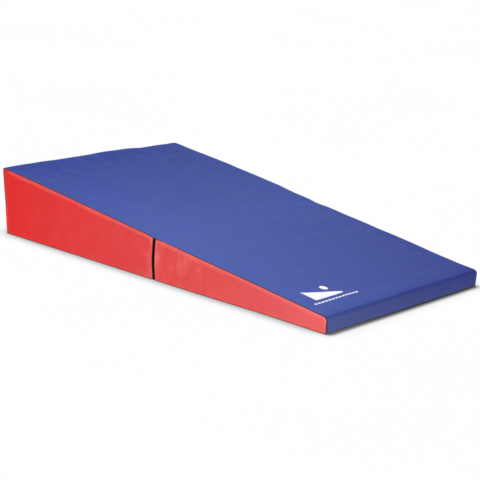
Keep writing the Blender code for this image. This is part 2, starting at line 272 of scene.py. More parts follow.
def folding(x, y, level):
    """Shift of the sheet over the fold, and of the fold's near edge."""
    at_fold = np.exp(-(x / FOLD_WIDTH) ** 2)
    dip = level * FOLD_DIP * (0.25 + 0.75 * smooth((np.abs(y) - 0.30) / 0.30)) * at_fold
    bend = FOLD_SKEW * (1 - level) ** 2 - FOLD_SHIFT * smooth(level / 0.5)
    bend = bend - FOLD_BOW * np.sin(math.pi * level)
    return np.stack([bend * at_fold * falling(y, NEAR, FOLD_BEND_REACH), 0 * x, -dip], -1)


def rims(x, y, level):
    """Swell, waves and turned-down edges of the far and tall rims."""
    far, near, tall = rising(y, FAR, 0.10), falling(y, NEAR, 0.10), falling(x, TALL_END, 0.12)
    before_low_end = smooth((LOW_END - x) / 0.08)
    dips = sum(size * np.exp(-((x - place) / 0.13) ** 2) for place, size in FAR_DIPS)
    crown = RIM_RISE * smooth((y - NEAR) / 0.14) * falling(y, 0.22, 0.14)
    crown = crown + RIM_PEAK * np.exp(-((y - 0.12) / 0.14) ** 2)
    crown = crown + SEAM_WAVE * ripple(y, (0.37, 1.2), (0.21, 0.2))
    turned = np.clip((y - FAR + RIM_REACH) / RIM_REACH, 0, 1) ** 2
    turned = turned + np.clip((TALL_END + RIM_REACH - x) / RIM_REACH, 0, 1) ** 2
    up = SEAM_WAVE * ripple(x, (0.41, 0.6), (0.27, 2.1), (0.163, 4.0)) * (far + 0.5 * near)
    up = up + (FAR_RISE - FAR_DIP * dips) * far * before_low_end + crown * tall
    up = up - RIM_ROUND * np.minimum(turned, 1) * before_low_end
    out = SEAM_WAVE * ripple(x, (0.33, 1.0), (0.19, 3.2)) * far
    return (level ** 4)[..., None] * np.stack([0 * x, out, up], -1)


def settle(points):
    """Where a point of the crisp mat ends up once its cover is stuffed, zipped and stood on the floor."""
    x, y, z = points[..., 0], points[..., 1], points[..., 2]
    level = np.clip(z / top_height(np.clip(x, TALL_END, LOW_END)), 0, 1)
    shift = leaning(x, y, level) + spreading(x, y, z, level) + folding(x, y, level) + rims(x, y, level)
    return points + corner_pull(points) + shift


def side_edges(y):
    """The near and far edges of a panel that reaches across the mat, as rolled() takes them."""
    return [(y - NEAR, SINK["side"]), (FAR - y, SINK["side"])]


def rolled(edges, depth, reach):
    """How far a panel sinks towards its edges. Each edge is (distance from the crisp edge, where the panel
    stops short of it)."""
    total = sum(np.clip((reach - d) / (reach - start), 0, 1) ** 4 for d, start in edges)
    share = np.clip(total, 0, 1) ** 0.25
    return depth * (1 - np.sqrt(1 - share * share))


def creases(u, v, marks):
    """Soft creases: a valley with a ridge beside it. Each mark is (u, v, angle, length, width, depth)."""
    total = np.zeros(np.broadcast(u, v).shape)
    for mark_u, mark_v, angle, length, width, depth in marks:
        turn = math.radians(angle)
        along = (u - mark_u) * math.cos(turn) + (v - mark_v) * math.sin(turn)
        beside = ((v - mark_v) * math.cos(turn) - (u - mark_u) * math.sin(turn)) / width
        profile = 0.7 * np.exp(-(beside - 1.5) ** 2) - np.exp(-beside ** 2)
        total += depth * profile * np.exp(-(along / length) ** 2)
    return total


# ---------------------------------------------------------------- cloth

def blurred(grid, times):
    for _ in range(times):
        padded = np.pad(grid, 1, mode="edge")
        grid = (padded[:-2, 1:-1] + padded[2:, 1:-1] + padded[1:-1, :-2] + padded[1:-1, 2:] + 4 * grid) / 8
    return grid


def blown_sheet(width, height, slack, seed, held_at=None):
    """Heights of a cloth sheet sewn down along its border and blown up from below, on an even grid.
    slack gives spots of loose cloth as (u, v, radius). held_at is a u at which both ends are held down."""
    columns, rows = round(width / CLOTH_CELL) + 1, round(height / CLOTH_CELL) + 1
    u, v = np.meshgrid(np.linspace(0, width, columns), np.linspace(0, height, rows), indexing="ij")
    border = np.minimum(np.minimum(u, width - u), np.minimum(v, height - v))
    if held_at is not None:
        held_row = np.abs(u - held_at) < CLOTH_CELL / 2
        held = held_row & (np.minimum(v, height - v) < 0.16)
    else:
        held = np.zeros(u.shape, bool)
    random = np.random.default_rng(seed)
    start = blurred(random.normal(0, 0.004, u.shape), 5) * (border > 0)
    points = np.stack([u, v, start], -1).reshape(-1, 3)
    index = np.arange(columns * rows).reshape(columns, rows)
    mesh = bpy.data.meshes.new("cloth")
    mesh.from_pydata(points.tolist(), [], grid_quads(columns, rows).reshape(-1, 4).tolist())
    sheet = add_object("cloth", mesh)
    sewn = sheet.vertex_groups.new(name="sewn")
    sewn.add(index[(border == 0) | held].tolist(), 1.0, "REPLACE")
    loose = sheet.vertex_groups.new(name="loose")
    looseness = np.full(u.shape, 0.06)
    for spot_u, spot_v, radius in slack:
        looseness += np.exp(-((u - spot_u) ** 2 + (v - spot_v) ** 2) / radius ** 2)
    for vertex, amount in zip(index.ravel().tolist(), np.clip(looseness, 0, 1).ravel().tolist()):
        loose.add([vertex], amount, "REPLACE")
    modifier = sheet.modifiers.new("cloth", "CLOTH")
    modifier.collision_settings.use_collision = False
    cloth = modifier.settings
    cloth.quality = 5
    cloth.tension_stiffness = cloth.compression_stiffness = 40
    cloth.shear_stiffness = 20
    cloth.bending_stiffness = 1.5
    cloth.vertex_group_mass = "sewn"
    cloth.use_pressure = True
    cloth.uniform_pressure_force = CLOTH_PRESSURE
    cloth.effector_weights.gravity = 0
    cloth.vertex_group_shrink = "loose"
    cloth.shrink_max = -0.035
    for step in range(1, CLOTH_FRAMES + 1):
        bpy.context.scene.frame_set(step)
    evaluated = sheet.evaluated_get(bpy.context.evaluated_depsgraph_get())
    places = np.empty(len(points) * 3, np.float32)
    evaluated.data.vertices.foreach_get("co", places)
    bpy.data.objects.remove(sheet)
    bpy.context.scene.frame_set(1)
    rise = places.reshape(columns, rows, 3)[..., 2].astype(float)
    base = blurred(rise, 6)
    folds = np.clip(rise - base, -0.0012, 0.0012) / 0.0026
    return np.tanh(base / 0.0045) + 0.6 * folds


def sampled(grid, u, v):
    """Smooth values of an even grid at places u and v between 0 and 1, by cubic interpolation."""
    def weights(place, count):
        place = np.clip(place, 0, 1) * (count - 1)
        cell = np.minimum(place.astype(int), count - 2)
        t = place - cell
        kernel = ((-t + 2 * t ** 2 - t ** 3) / 2, (2 - 5 * t ** 2 + 3 * t ** 3) / 2,
                  (t + 4 * t ** 2 - 3 * t ** 3) / 2, (t ** 3 - t ** 2) / 2)
        return [(np.clip(cell + offset - 1, 0, count - 1), part) for offset, part in enumerate(kernel)]
    total = 0
    for column, part_u in weights(u, grid.shape[0]):
        for row, part_v in weights(v, grid.shape[1]):
            total = total + grid[column, row] * part_u * part_v
    return total


# ---------------------------------------------------------------- mesh helpers

def add_object(name, data):
    item = bpy.data.objects.new(name, data)
    bpy.context.scene.collection.objects.link(item)
    return item


def smooth_object(name, mesh, sharp_angle):
    mesh.shade_smooth()
    mesh.set_sharp_from_angle(angle=math.radians(sharp_angle))
    return add_object(name, mesh)


def add_mesh(name, points, faces, sharp_angle=50):
    mesh = bpy.data.meshes.new(name)
    mesh.from_pydata(np.asarray(points, float).reshape(-1, 3).tolist(), [], faces)
    mesh.update()
    return smooth_object(name, mesh, sharp_angle)


def grid_quads(columns, rows):
    """The quads of a grid whose points run row by row, as (columns - 1, rows - 1, 4) point numbers."""
    index = np.arange(columns * rows).reshape(columns, rows)
    return np.stack([index[:-1, :-1], index[1:, :-1], index[1:, 1:], index[:-1, 1:]], -1)


def closed_shell(quads, shift):
    """Faces of a thin shell: the quads, walls round their rims and the same quads on the points shift on."""
    faces = quads.tolist()
    walls = [[end, start, start + shift, end + shift] for start, end in boundary_edges(faces)]
    backs = [[corner + shift for corner in reversed(face)] for face in faces]
    return faces + walls + backs


def lofted(rings, size):
    """Faces of a closed tube through rings of points, of that size each, capped at both ends."""
    faces = []
    for ring in range(rings - 1):
        for number in range(size):
            other = (number + 1) % size
            faces.append([ring * size + number, ring * size + other,
                          (ring + 1) * size + other, (ring + 1) * size + number])
    faces.append(list(range(size))[::-1])
    faces.append([(rings - 1) * size + number for number in range(size)])
    return faces


def store(item, name, kind, values):
    """Keeps a value for each vertex, for the materials to read."""
    attribute = item.data.attributes.new(name, kind, "POINT")
    attribute.data.foreach_set("vector" if kind == "FLOAT_VECTOR" else "value",
                               np.asarray(values, np.float32).ravel())


def finish_piece(item, material, body=None, replaced=()):
    """Gives a piece its material, a stored rest place for each vertex and its body, and hides the CAD nodes
    it stands for. Blender ends a material's name in .001 where the CAD has a material of the same name."""
    item.data.materials.clear()
    item.data.materials.append(material)
    points = np.empty(len(item.data.vertices) * 3, np.float32)
    item.data.vertices.foreach_get("co", points)
    store(item, "rest", "FLOAT_VECTOR", points)
    if body:
        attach(item, body)
    if replaced:
        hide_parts(*replaced)
    return item


def boundary_edges(faces):
    """Directed edges that belong to one face only."""
    edges = {}
    for face in faces:
        for start, end in zip(face, face[1:] + face[:1]):
            if (end, start) in edges:
                del edges[(end, start)]
            else:
                edges[(start, end)] = True
    return list(edges)


def add_cover(name, kind, base, normals, edges, relief, hole=None, hem=None):
    """A closed piece of cover from a grid of points on a crisp face.

    edges holds (distance of each grid point from a crisp edge, where the panel stops short of it), hem each
    point's distance outside an opening, and hole marks the points that lie inside it."""
    columns, rows = base.shape[:2]
    seam = np.minimum.reduce([distance - start for distance, start in edges])
    depth = rolled(edges, SINK[kind], ROLL[kind])
    if hem is not None:
        depth = depth + rolled([(hem, 0)], HEM, HEM_REACH)
    outer = base + normals * (relief - depth)[..., None]
    thickness = VINYL_EDGE + (VINYL - VINYL_EDGE) * smooth(seam / 0.004)
    inner = outer - normals * thickness[..., None]
    outer, inner = settle(outer), settle(inner)
    quads = grid_quads(columns, rows)
    if hole is not None:
        inside = hole[:-1, :-1] & hole[1:, :-1] & hole[1:, 1:] & hole[:-1, 1:]
        quads = quads[~inside]
    quads = quads.reshape(-1, 4)
    a, b, d = (base[0, 0], base[1, 0], base[0, 1])
    if np.cross(b - a, d - a) @ normals[0, 0] < 0:
        quads = quads[:, ::-1]
    faces = closed_shell(quads, columns * rows)
    points = np.concatenate([outer.reshape(-1, 3), inner.reshape(-1, 3)])
    values = np.tile(seam.ravel(), 2)
    if hole is not None:
        used = np.unique(np.array(faces))
        renumber = dict(zip(used.tolist(), range(len(used))))
        points, values = points[used], values[used]
        faces = [[renumber[corner] for corner in face] for face in faces]
    item = add_mesh(name, points, faces, 60)
    store(item, "seam", "FLOAT", values)
    return item


# ---------------------------------------------------------------- materials

class Graph:
    """The node tree of a material, or of a world, under construction."""

    def __init__(self, name, owners=bpy.data.materials, shader="Principled BSDF"):
        self.owner = owners.new(name)
        self.owner.use_nodes = True
        self.tree = self.owner.node_tree
        self.shader = self.tree.nodes[shader]

    def node(self, kind, inputs=None, output=0, **settings):
        """Adds a node, sets or links its inputs, and returns one of its outputs."""
        made = self.tree.nodes.new("ShaderNode" + kind)
        for key, value in settings.items():
            setattr(made, key, value)
        self.feed(made, inputs or {})
        return made.outputs[output]

    def feed(self, made, inputs):
        for key, value in inputs.items():
            if isinstance(value, bpy.types.NodeSocket):
                self.tree.links.new(value, made.inputs[key])
            else:
                made.inputs[key].default_value = value

    def maths(self, operation, first, second=0.0, clamp=False):
        return self.node("Math", {0: first, 1: second}, operation=operation, use_clamp=clamp)

    def times(self, first, second):
        return self.maths("MULTIPLY", first, second)

    def part(self, vector, axis):
        return self.node("SeparateXYZ", {"Vector": vector}, axis)

    def spread(self, value, low, high, to_low=0.0, to_high=1.0):
        return self.node("MapRange", {"Value": value, "From Min": low, "From Max": high,
                                      "To Min": to_low, "To Max": to_high})

    def mix(self, share, first, second, blend="MIX"):
        made = self.tree.nodes.new("ShaderNodeMix")
        made.data_type = "RGBA"
        made.blend_type = blend
        self.feed(made, {0: share, 6: first, 7: second})
        return made.outputs[2]

    def noise(self, place, scale, detail=2.0, roughness=0.5):
        return self.node("TexNoise", {"Vector": place, "Scale": scale, "Detail": detail,
                                      "Roughness": roughness})

    def rest(self, stretch=None):
        place = self.node("Attribute", output="Vector", attribute_name="rest")
        if stretch:
            place = self.node("Mapping", {"Vector": place, "Scale": stretch})
        return place

    def bumps(self, *layers):
        """Stacks bump layers of (height, distance, strength)."""
        normal = None
        for height, distance, strength in layers:
            inputs = {"Height": height, "Distance": distance, "Strength": strength}
            if normal:
                inputs["Normal"] = normal
            normal = self.node("Bump", inputs)
        return normal

    def finish(self, **inputs):
        names = {"colour": "Base Color", "roughness": "Roughness", "normal": "Normal", "metallic": "Metallic",
                 "sheen": "Sheen Weight", "sheen_roughness": "Sheen Roughness", "coat": "Coat Weight",
                 "coat_roughness": "Coat Roughness", "specular": "Specular IOR Level"}
        self.feed(self.shader, {names[key]: value for key, value in inputs.items()})
        return self.owner


def linear(red, green, blue):
    """The linear colour of an sRGB colour given in 0 to 255."""
    def channel(value):
        value /= 255
        return value / 12.92 if value <= 0.04045 else ((value + 0.055) / 1.055) ** 2.4
    return (channel(red), channel(green), channel(blue), 1.0)


def vinyl(name, colour, pale, deep, roughness=0.5, specular=0.2, painted_light_colour=None, painted_light_end=1.0, seam_shade_reach=0.0012,
          local=None):
    """Coated mat fabric: fine leather grain, the scrim's weave under it, and painted shade and highlights at
    its seams.

    pale is its colour in the painted highlights along its rolled edges and in its scuffs, deep its colour in
    the grain's hollows, and faded, if given, the colour it reaches at x = painted_light_end, a painted light
    gradient along x.
    crease is how far the painted shade in each seam's groove reaches. local, if given, is a function that
    adds the painted highlights and shade of this cloth alone, in place of the plain painted highlight along
    the seams."""
    g = Graph(name)
    place = g.rest()
    seam = g.node("Attribute", output="Fac", attribute_name="seam")
    patches = g.noise(place, 17.0, 3.0, 0.6)
    grain = g.node("TexVoronoi", {"Vector": place, "Scale": 620.0}, feature="SMOOTH_F1")
    tone = g.maths("ADD", g.spread(g.noise(place, 3.2, 3.0), 0.3, 0.7, -0.03, 0.03),
                   g.spread(patches, 0.3, 0.7, -0.02, 0.02))
    tone = g.maths("ADD", tone, g.spread(g.noise(place, 150.0, 2.0, 0.6), 0.3, 0.7, -0.03, 0.03))
    base = colour
    # painted light: the colour grows paler along x
    if painted_light_colour:
        base = g.mix(g.spread(g.part(place, "X"), TALL_END, painted_light_end), colour, painted_light_colour)
    shade = g.node("HueSaturation", {"Color": base, "Value": g.maths("ADD", tone, 1.0)})
    shade = g.mix(g.spread(grain, 0.15, 0.75, 0.0, 0.35), shade, deep)
    scuffs = g.spread(g.noise(g.rest((3.0, 6.0, 6.0)), 6.0, 6.0, 0.75), 0.62, 0.78)
    if local:
        shade = local(g, shade, place, seam)
    else:
        # plain painted highlight along the rolled edges
        shade = g.mix(painted_edge_highlight(g, place, seam), shade, pale)
    shade = g.mix(g.times(scuffs, 0.05), shade, pale)
    # painted shade: a near-black line where each seam's groove lies in shade
    shade = g.mix(g.spread(seam, seam_shade_reach / 2, seam_shade_reach, 0.92, 0.0), shade, linear(16, 14, 20))
    gloss = g.maths("ADD", g.spread(patches, 0.3, 0.7, roughness - 0.05, roughness + 0.05),
                    g.times(scuffs, 0.10))
    weave = {"Vector": place, "Scale": 210.0, "Distortion": 0.4}
    scrim = g.times(g.node("TexWave", weave, bands_direction="DIAGONAL"),
                    g.node("TexWave", weave, bands_direction="Z"))
    gathers = g.times(g.noise(place, 95.0, 2.0), g.spread(seam, 0.0, 0.020, 1.0, 0.0))
    normal = g.bumps((gathers, 0.0011, 0.8), (scrim, 0.00012, 0.35), (grain, 0.00022, 0.55),
                     (g.noise(place, 1900.0, 2.0), 0.00006, 0.4))
    return g.finish(colour=shade, roughness=gloss, normal=normal, specular=specular)


def painted_edge_highlight(g, place, seam):
    """Painted highlight on the rolled edges along the seams: a broken band, palest a little way in."""
    band = g.times(g.spread(seam, 0.001, 0.007, 0.28, 0.42), g.spread(seam, 0.007, 0.017, 1.0, 0.0))
    return g.times(band, g.spread(g.noise(place, 60.0, 4.0, 0.7), 0.35, 0.7, 0.35, 1.0))


def red_painted_light(g, shade, place, seam):
    """Painted light on the side panels: painted highlights of soft wrinkles in pale patches in the low half,
    painted highlight strokes and a broken painted highlight of a ridge beside the fold, a painted highlight
    along the rolled edges that fades out at the foot and the tall end, and painted shade at the tall end's
    edge."""
    along, height = g.part(place, "X"), g.part(place, "Z")
    # painted highlight along the rolled edges, fading out towards the foot and the tall end
    edge = g.times(painted_edge_highlight(g, place, seam), g.spread(height, 0.010, 0.045, 0.1, 1.0))
    edge = g.times(edge, g.spread(along, TALL_END + 0.012, TALL_END + 0.040, 0.1, 1.0))
    shade = g.mix(edge, shade, RED_PALE)
    # painted shade where the near side turns away at the tall end
    shade = g.mix(g.spread(along, TALL_END + 0.003, TALL_END + 0.020, 0.8, 0.0), shade, RED_DEEP)
    # painted highlights of soft wrinkles, in pale patches in the low half near the fold
    highlight_patches = g.spread(g.noise(g.rest((1.0, 1.0, 0.6)), 19.0, 3.0, 0.55), 0.46, 0.70)
    away = g.maths("ABSOLUTE", g.maths("SUBTRACT", along, HIGHLIGHTS_AT))
    shade = g.mix(g.times(highlight_patches, g.spread(away, 0.05, 0.32, 0.26, 0.05)), shade, RED_PALE)
    # painted highlights of creases: pale vertical strokes beside the fold
    strokes = g.spread(g.noise(g.rest((1.0, 1.0, 0.10)), 130.0, 2.0, 0.5), 0.48, 0.66)
    by_fold = g.spread(g.maths("ABSOLUTE", along), 0.006, 0.060, 0.55, 0.0)
    shade = g.mix(g.times(strokes, by_fold), shade, RED_PALE)
    # painted highlight of a ridge: a broken pale line 15 mm in from the seams, on the upper part of the side
    ridge = g.spread(g.maths("ABSOLUTE", g.maths("SUBTRACT", seam, 0.0150)), 0.0, 0.0028, 0.5, 0.0)
    ridge = g.times(ridge, g.spread(height, 0.04, 0.11))
    ridge = g.times(ridge, g.spread(g.noise(place, 9.0, 2.0), 0.38, 0.56))
    return g.mix(ridge, shade, RED_PALE)


def blue_painted_light(g, shade, place, seam):
    """Painted light on the top sheet: painted highlights along its rolled edges, painted shade where it bends
    over the low end, a greyer painted shade down the low end's face, painted shade where it turns away at the
    far and tall rims, and painted shade deepening towards the far low corner."""
    along = g.part(place, "X")
    # painted highlight along the rolled edges
    shade = g.mix(painted_edge_highlight(g, place, seam), shade, BLUE_PALE)
    # painted shade over the bend at the low end, in the sheet's colour at the tall end
    shade = g.mix(g.spread(along, LOW_END - 0.060, LOW_END - 0.022, 0.0, 0.30), shade, BLUE_BASE)
    normal = g.node("NewGeometry", output="Normal")
    facing = g.part(normal, "X")
    # painted shade where the sheet turns down over the bend
    shade = g.mix(g.spread(facing, 0.18, 0.50, 0.0, 0.38), shade, BLUE_TURNED_SHADE)
    # painted shade: a greyer, duller tone down the low end's face
    shade = g.mix(g.spread(facing, 0.60, 1.0, 0.0, 0.9), shade, BLUE_DOWNHILL_SHADE)
    away = g.node("VectorMath", {0: normal, 1: (-0.6, 0.8, 0.0)}, "Value", operation="DOT_PRODUCT")
    # painted shade where the sheet turns away at the far and tall rims
    shade = g.mix(g.spread(away, 0.02, 0.10, 0.0, 0.92), shade, BLUE_TURNED_SHADE)
    beyond = g.spread(g.part(place, "Y"), NEAR, FAR)
    # painted shade deepening towards the far low corner
    shadow = g.times(beyond, g.spread(along, -0.7, LOW_END, 0.0, 0.62))
    return g.mix(shadow, shade, BLUE_FAR_SHADE)


def cloth_fabric(name, colour, pale, ribs, rib_axis="X", fuzz=0.3, distance=0.0004):
    """Woven or brushed fabric with ribs along one axis."""
    g = Graph(name)
    place = g.rest()
    rib = g.node("TexWave", {"Vector": place, "Scale": ribs, "Distortion": 1.2, "Detail": 2.0,
                             "Detail Scale": 3.0}, bands_direction=rib_axis)
    cross = g.node("TexWave", {"Vector": place, "Scale": ribs * 1.7, "Distortion": 0.8},
                   bands_direction="Z" if rib_axis == "Y" else "Y")
    fibres = g.noise(place, 1500.0, 3.0, 0.7)
    weave = g.times(rib, cross)
    patches = g.noise(place, 30.0, 3.0)
    shade = g.mix(g.spread(weave, 0.0, 1.0, 0.1, 0.8), colour, pale)
    shade = g.mix(g.spread(patches, 0.35, 0.65, 0.0, 0.25), shade, colour)
    shade = g.mix(g.times(fibres, 0.3), shade, pale)
    normal = g.bumps((weave, distance, 0.8), (fibres, distance / 2, fuzz + 0.3))
    return g.finish(colour=shade, roughness=0.85, normal=normal, sheen=fuzz, sheen_roughness=0.5,
                    specular=0.25)


def foam_material():
    g = Graph("foam")
    place = g.rest()
    cells = g.node("TexVoronoi", {"Vector": place, "Scale": 520.0})
    crumbs = g.noise(place, 90.0, 5.0, 0.7)
    shade = g.mix(g.spread(cells, 0.1, 0.6), linear(214, 210, 196), linear(240, 238, 230))
    shade = g.mix(g.spread(crumbs, 0.4, 0.7, 0.0, 0.35), shade, linear(200, 192, 168))
    normal = g.bumps((crumbs, 0.0015, 0.5), (cells, 0.0005, 0.8))
    return g.finish(colour=shade, roughness=0.95, normal=normal, specular=0.2)


def metal_material():
    g = Graph("zip_metal")
    place = g.node("TexCoord", output="Object")
    brush = g.noise(g.node("Mapping", {"Vector": place, "Scale": (1.0, 1.0, 12.0)}), 900.0, 4.0, 0.6)
    tarnish = g.noise(place, 260.0, 3.0)
    shade = g.mix(g.spread(tarnish, 0.35, 0.7), linear(186, 188, 192), linear(142, 142, 146))
    gloss = g.spread(brush, 0.2, 0.8, 0.22, 0.42)
    return g.finish(colour=shade, metallic=1.0, roughness=gloss, normal=g.bumps((brush, 0.00008, 0.5)))


def plastic_material(name, colour, pale):
    g = Graph(name)
    place = g.rest()
    mottle = g.noise(place, 400.0, 3.0)
    shade = g.mix(g.spread(mottle, 0.3, 0.7, 0.0, 0.5), colour, pale)
    return g.finish(colour=shade, roughness=g.spread(mottle, 0.3, 0.7, 0.30, 0.45),
                    normal=g.bumps((g.noise(place, 2400.0), 0.00005, 0.5)))


def print_material():
    """Screen-printed white ink, thin enough that the vinyl's grain shows through it."""
    g = Graph("white_print")
    place = g.rest()
    grain = g.node("TexVoronoi", {"Vector": place, "Scale": 620.0}, feature="SMOOTH_F1")
    wear = g.noise(place, 140.0, 5.0, 0.75)
    shade = g.mix(g.spread(wear, 0.62, 0.80, 0.0, 0.35), linear(246, 247, 251), linear(150, 160, 210))
    return g.finish(colour=shade, roughness=g.spread(wear, 0.3, 0.7, 0.42, 0.60),
                    normal=g.bumps((grain, 0.00018, 0.5)))


HIGHLIGHTS_AT = 0.16         # the x round which the painted highlight patches of the red cloth gather
# RED_PALE paints the side panels' highlights and is their scuffs' colour; RED_DEEP is the grain's hollows and
# the painted shade at the tall end's edge
RED_PALE = linear(240, 132, 120)
RED_DEEP = linear(200, 18, 24)
# The top sheet's colour at the tall end, which also paints the shade over the bend; its painted highlight and
# scuff colour; and the painted shade of its turned-away rims, of the low end's face and of the far low corner
BLUE_BASE = linear(24, 55, 144)
BLUE_PALE = linear(84, 100, 178)
BLUE_TURNED_SHADE = linear(24, 34, 88)
BLUE_DOWNHILL_SHADE = linear(70, 81, 146)
BLUE_FAR_SHADE = linear(4, 33, 129)
# The red and the blue vinyl grow paler along x in painted light: the red towards the low end, the blue from
# the tall end to near the fold.
RED = vinyl("red_vinyl", linear(234, 27, 28), RED_PALE, RED_DEEP, painted_light_colour=linear(222, 94, 95),
            painted_light_end=LOW_END, seam_shade_reach=0.0009, local=red_painted_light)
BLUE = vinyl("blue_vinyl", BLUE_BASE, BLUE_PALE, linear(36, 54, 134), specular=0.17,
             painted_light_colour=linear(65, 87, 167), painted_light_end=-0.05, seam_shade_reach=0.0036, local=blue_painted_light)
BLACK = vinyl("black_vinyl", linear(15, 15, 17), linear(32, 32, 34), linear(8, 8, 9), roughness=0.6,
              specular=0.12)
HOOK = cloth_fabric("hook_tape", linear(20, 20, 22), linear(46, 46, 48), 260.0, "Y", 0.1, 0.0006)
LOOP = cloth_fabric("loop_tape", linear(26, 26, 28), linear(62, 62, 64), 140.0, "Y", 0.9, 0.0008)
WEBBING = cloth_fabric("webbing", linear(20, 20, 22), linear(58, 58, 60), 120.0, "Z", 0.3, 0.0005)
TAPE = cloth_fabric("zip_tape", linear(20, 20, 22), linear(44, 44, 46), 330.0, "Y", 0.2, 0.0002)
COIL = plastic_material("zip_coil", linear(26, 26, 28), linear(50, 50, 54))
THREAD_BLACK = cloth_fabric("black_thread", linear(30, 30, 32), linear(74, 74, 76), 900.0, "X", 0.2, 0.0001)
THREAD_RED = cloth_fabric("red_thread", linear(196, 46, 46), linear(232, 96, 92), 900.0, "X", 0.2, 0.0001)
METAL = metal_material()
FOAM = foam_material()
PRINT = print_material()


# ---------------------------------------------------------------- top sheet

def sheet_run():
    """Stations down the top sheet's crisp section: place, outward normal and distance from both ends."""
    slope_end = BEND_X + LOW_END_RADIUS * math.sin(SLOPE)
    near_fold = np.arange(-9, 10) * 0.0009
    uphill = across(TALL_END + SINK["end"], near_fold[0])
    downhill = across(near_fold[-1], slope_end)
    slope_x = joined(uphill, near_fold, downhill)
    angles = np.linspace(math.pi / 2 - SLOPE, 0, 13)[1:]
    drop = BEND_Z - across(0, BEND_Z - SINK["bottom"])[1:]
    flat = np.zeros(len(slope_x))
    x = np.concatenate([slope_x, BEND_X + LOW_END_RADIUS * np.cos(angles), np.full(len(drop), LOW_END)])
    z = np.concatenate([top_height(slope_x), BEND_Z + LOW_END_RADIUS * np.sin(angles), drop])
    normal_x = np.concatenate([flat + math.sin(SLOPE), np.cos(angles), np.ones(len(drop))])
    normal_z = np.concatenate([flat + math.cos(SLOPE), np.sin(angles), np.zeros(len(drop))])
    return x, z, normal_x, normal_z


SHEET_CREASES = (
    (-0.145, 0.455, 62, 0.075, 0.016, 0.0012), (-0.072, 0.500, 40, 0.060, 0.014, 0.0010),
    (0.030, 0.500, 78, 0.070, 0.016, 0.0012), (0.294, 0.430, 55, 0.090, 0.018, 0.0011),
    (0.403, 0.415, 66, 0.100, 0.020, 0.0010), (0.526, 0.440, 48, 0.080, 0.016, 0.0009),
    (-0.520, 0.480, 35, 0.090, 0.022, 0.0008), (-0.760, -0.380, -50, 0.080, 0.024, 0.0007),
    (0.700, -0.060, 20, 0.110, 0.030, 0.0005), (-0.300, -0.470, -28, 0.090, 0.024, 0.0007),
    (0.120, -0.520, -38, 0.070, 0.020, 0.0008),
)


def build_sheet():
    x, z, normal_x, normal_z = sheet_run()
    y = across(NEAR + SINK["side"], FAR - SINK["side"])
    zero = np.zeros((len(x), len(y)))
    base = np.stack([zero + x[:, None], zero + y, zero + z[:, None]], -1)
    normals = np.stack([zero + normal_x[:, None], zero, zero + normal_z[:, None]], -1)
    tall_edge = zero + ((x - TALL_END) / math.cos(SLOPE))[:, None]
    bottom_edge = zero + np.where(x < BEND_X, 1.0, z)[:, None]
    edges = [(tall_edge, SINK["end"]), (bottom_edge, SINK["bottom"])] + side_edges(zero + y)
    grid = blown_sheet(LENGTH, WIDTH, [(0.80, 1.10, 0.12), (1.25, 1.08, 0.15), (0.95, 0.10, 0.10),
                                       (0.15, 0.95, 0.12)], 11, held_at=LENGTH / 2)
    share_x = zero + ((x - TALL_END) / LENGTH)[:, None]
    relief = CROWN * sampled(grid, share_x, zero + (y - NEAR) / WIDTH)
    relief = relief * (1 - smooth((zero + x[:, None] - BEND_X + 0.03) / 0.05))
    inside = smooth((zero + np.minimum(y - NEAR, FAR - y)) / 0.05)
    relief = relief + creases(base[..., 0], base[..., 1], SHEET_CREASES) * inside
    low_face = smooth((LOW_END_RADIUS - LOW_END + base[..., 0]) / LOW_END_RADIUS)
    belly = np.sin(math.pi * np.clip(base[..., 2] / BEND_Z, 0, 1)) * low_face
    relief = relief + 0.0012 * belly * (1 + 0.3 * ripple(base[..., 1], (0.31, 0.4), (0.19, 2.2)))
    sheet = add_cover("top_sheet", "top", base, normals, edges, relief)
    finish_piece(sheet, BLUE, replaced=("tall_top_panel", "low_top_panel"))
    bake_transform(sheet)
    return base, relief


# ---------------------------------------------------------------- side, end, fold and bottom covers

def plane_grid(axis, face, outward, first, second):
    """Points and normals of a grid on the plane where the axis has the value face. first holds a place for
    each column along the first other axis, second a place for each row, or for each point, along the last."""
    zero = np.zeros((len(first), second.shape[-1]))
    places = [zero + first[:, None], zero + second]
    normals = np.zeros(zero.shape + (3,))
    normals[..., axis] = outward
    return np.stack(places[:axis] + [zero + face] + places[axis:], -1), normals


def front_distance(x, z):
    """Distance of a low-half side point from the line of slope, bend and low end."""
    slope = (top_height(x) - z) * math.cos(SLOPE)
    round_part = LOW_END_RADIUS - np.hypot(x - BEND_X, z - BEND_Z)
    plain = np.minimum(slope, LOW_END - x)
    turned = (x > BEND_X) & (z > BEND_Z)
    return np.where(turned, np.minimum(round_part, slope + 1), plain)


def side_top(x):
    """Upper edge of a side cover's grid at x, where it meets the top sheet's sunken edge."""
    slope = top_height(x) - SINK["top"] / math.cos(SLOPE)
    radius = LOW_END_RADIUS - SINK["top"]
    bend = BEND_Z + np.sqrt(np.clip(radius ** 2 - np.clip(x - BEND_X, 0, radius) ** 2, 0, None))
    return np.where(x > BEND_X + radius * math.sin(SLOPE), bend, slope)


SIDE_CREASES = {
    "tall": ((-0.090, 0.060, 132, 0.055, 0.013, 0.0012), (-0.170, 0.110, 118, 0.050, 0.016, 0.0008),
             (-0.780, 0.080, 60, 0.070, 0.020, 0.0008)),
    "low": ((0.200, 0.085, 150, 0.080, 0.015, 0.0011), (0.290, 0.040, 160, 0.070, 0.014, 0.0009),
            (0.080, 0.060, 60, 0.050, 0.016, 0.0009), (0.520, 0.050, 165, 0.090, 0.016, 0.0006)),
}


def slot_distance(u, v, slot):
    """Distance outside a slot given as (low u, high u, low v, high v); zero or less inside it."""
    return np.maximum(np.maximum(slot[0] - u, u - slot[1]), np.maximum(slot[2] - v, v - slot[3]))


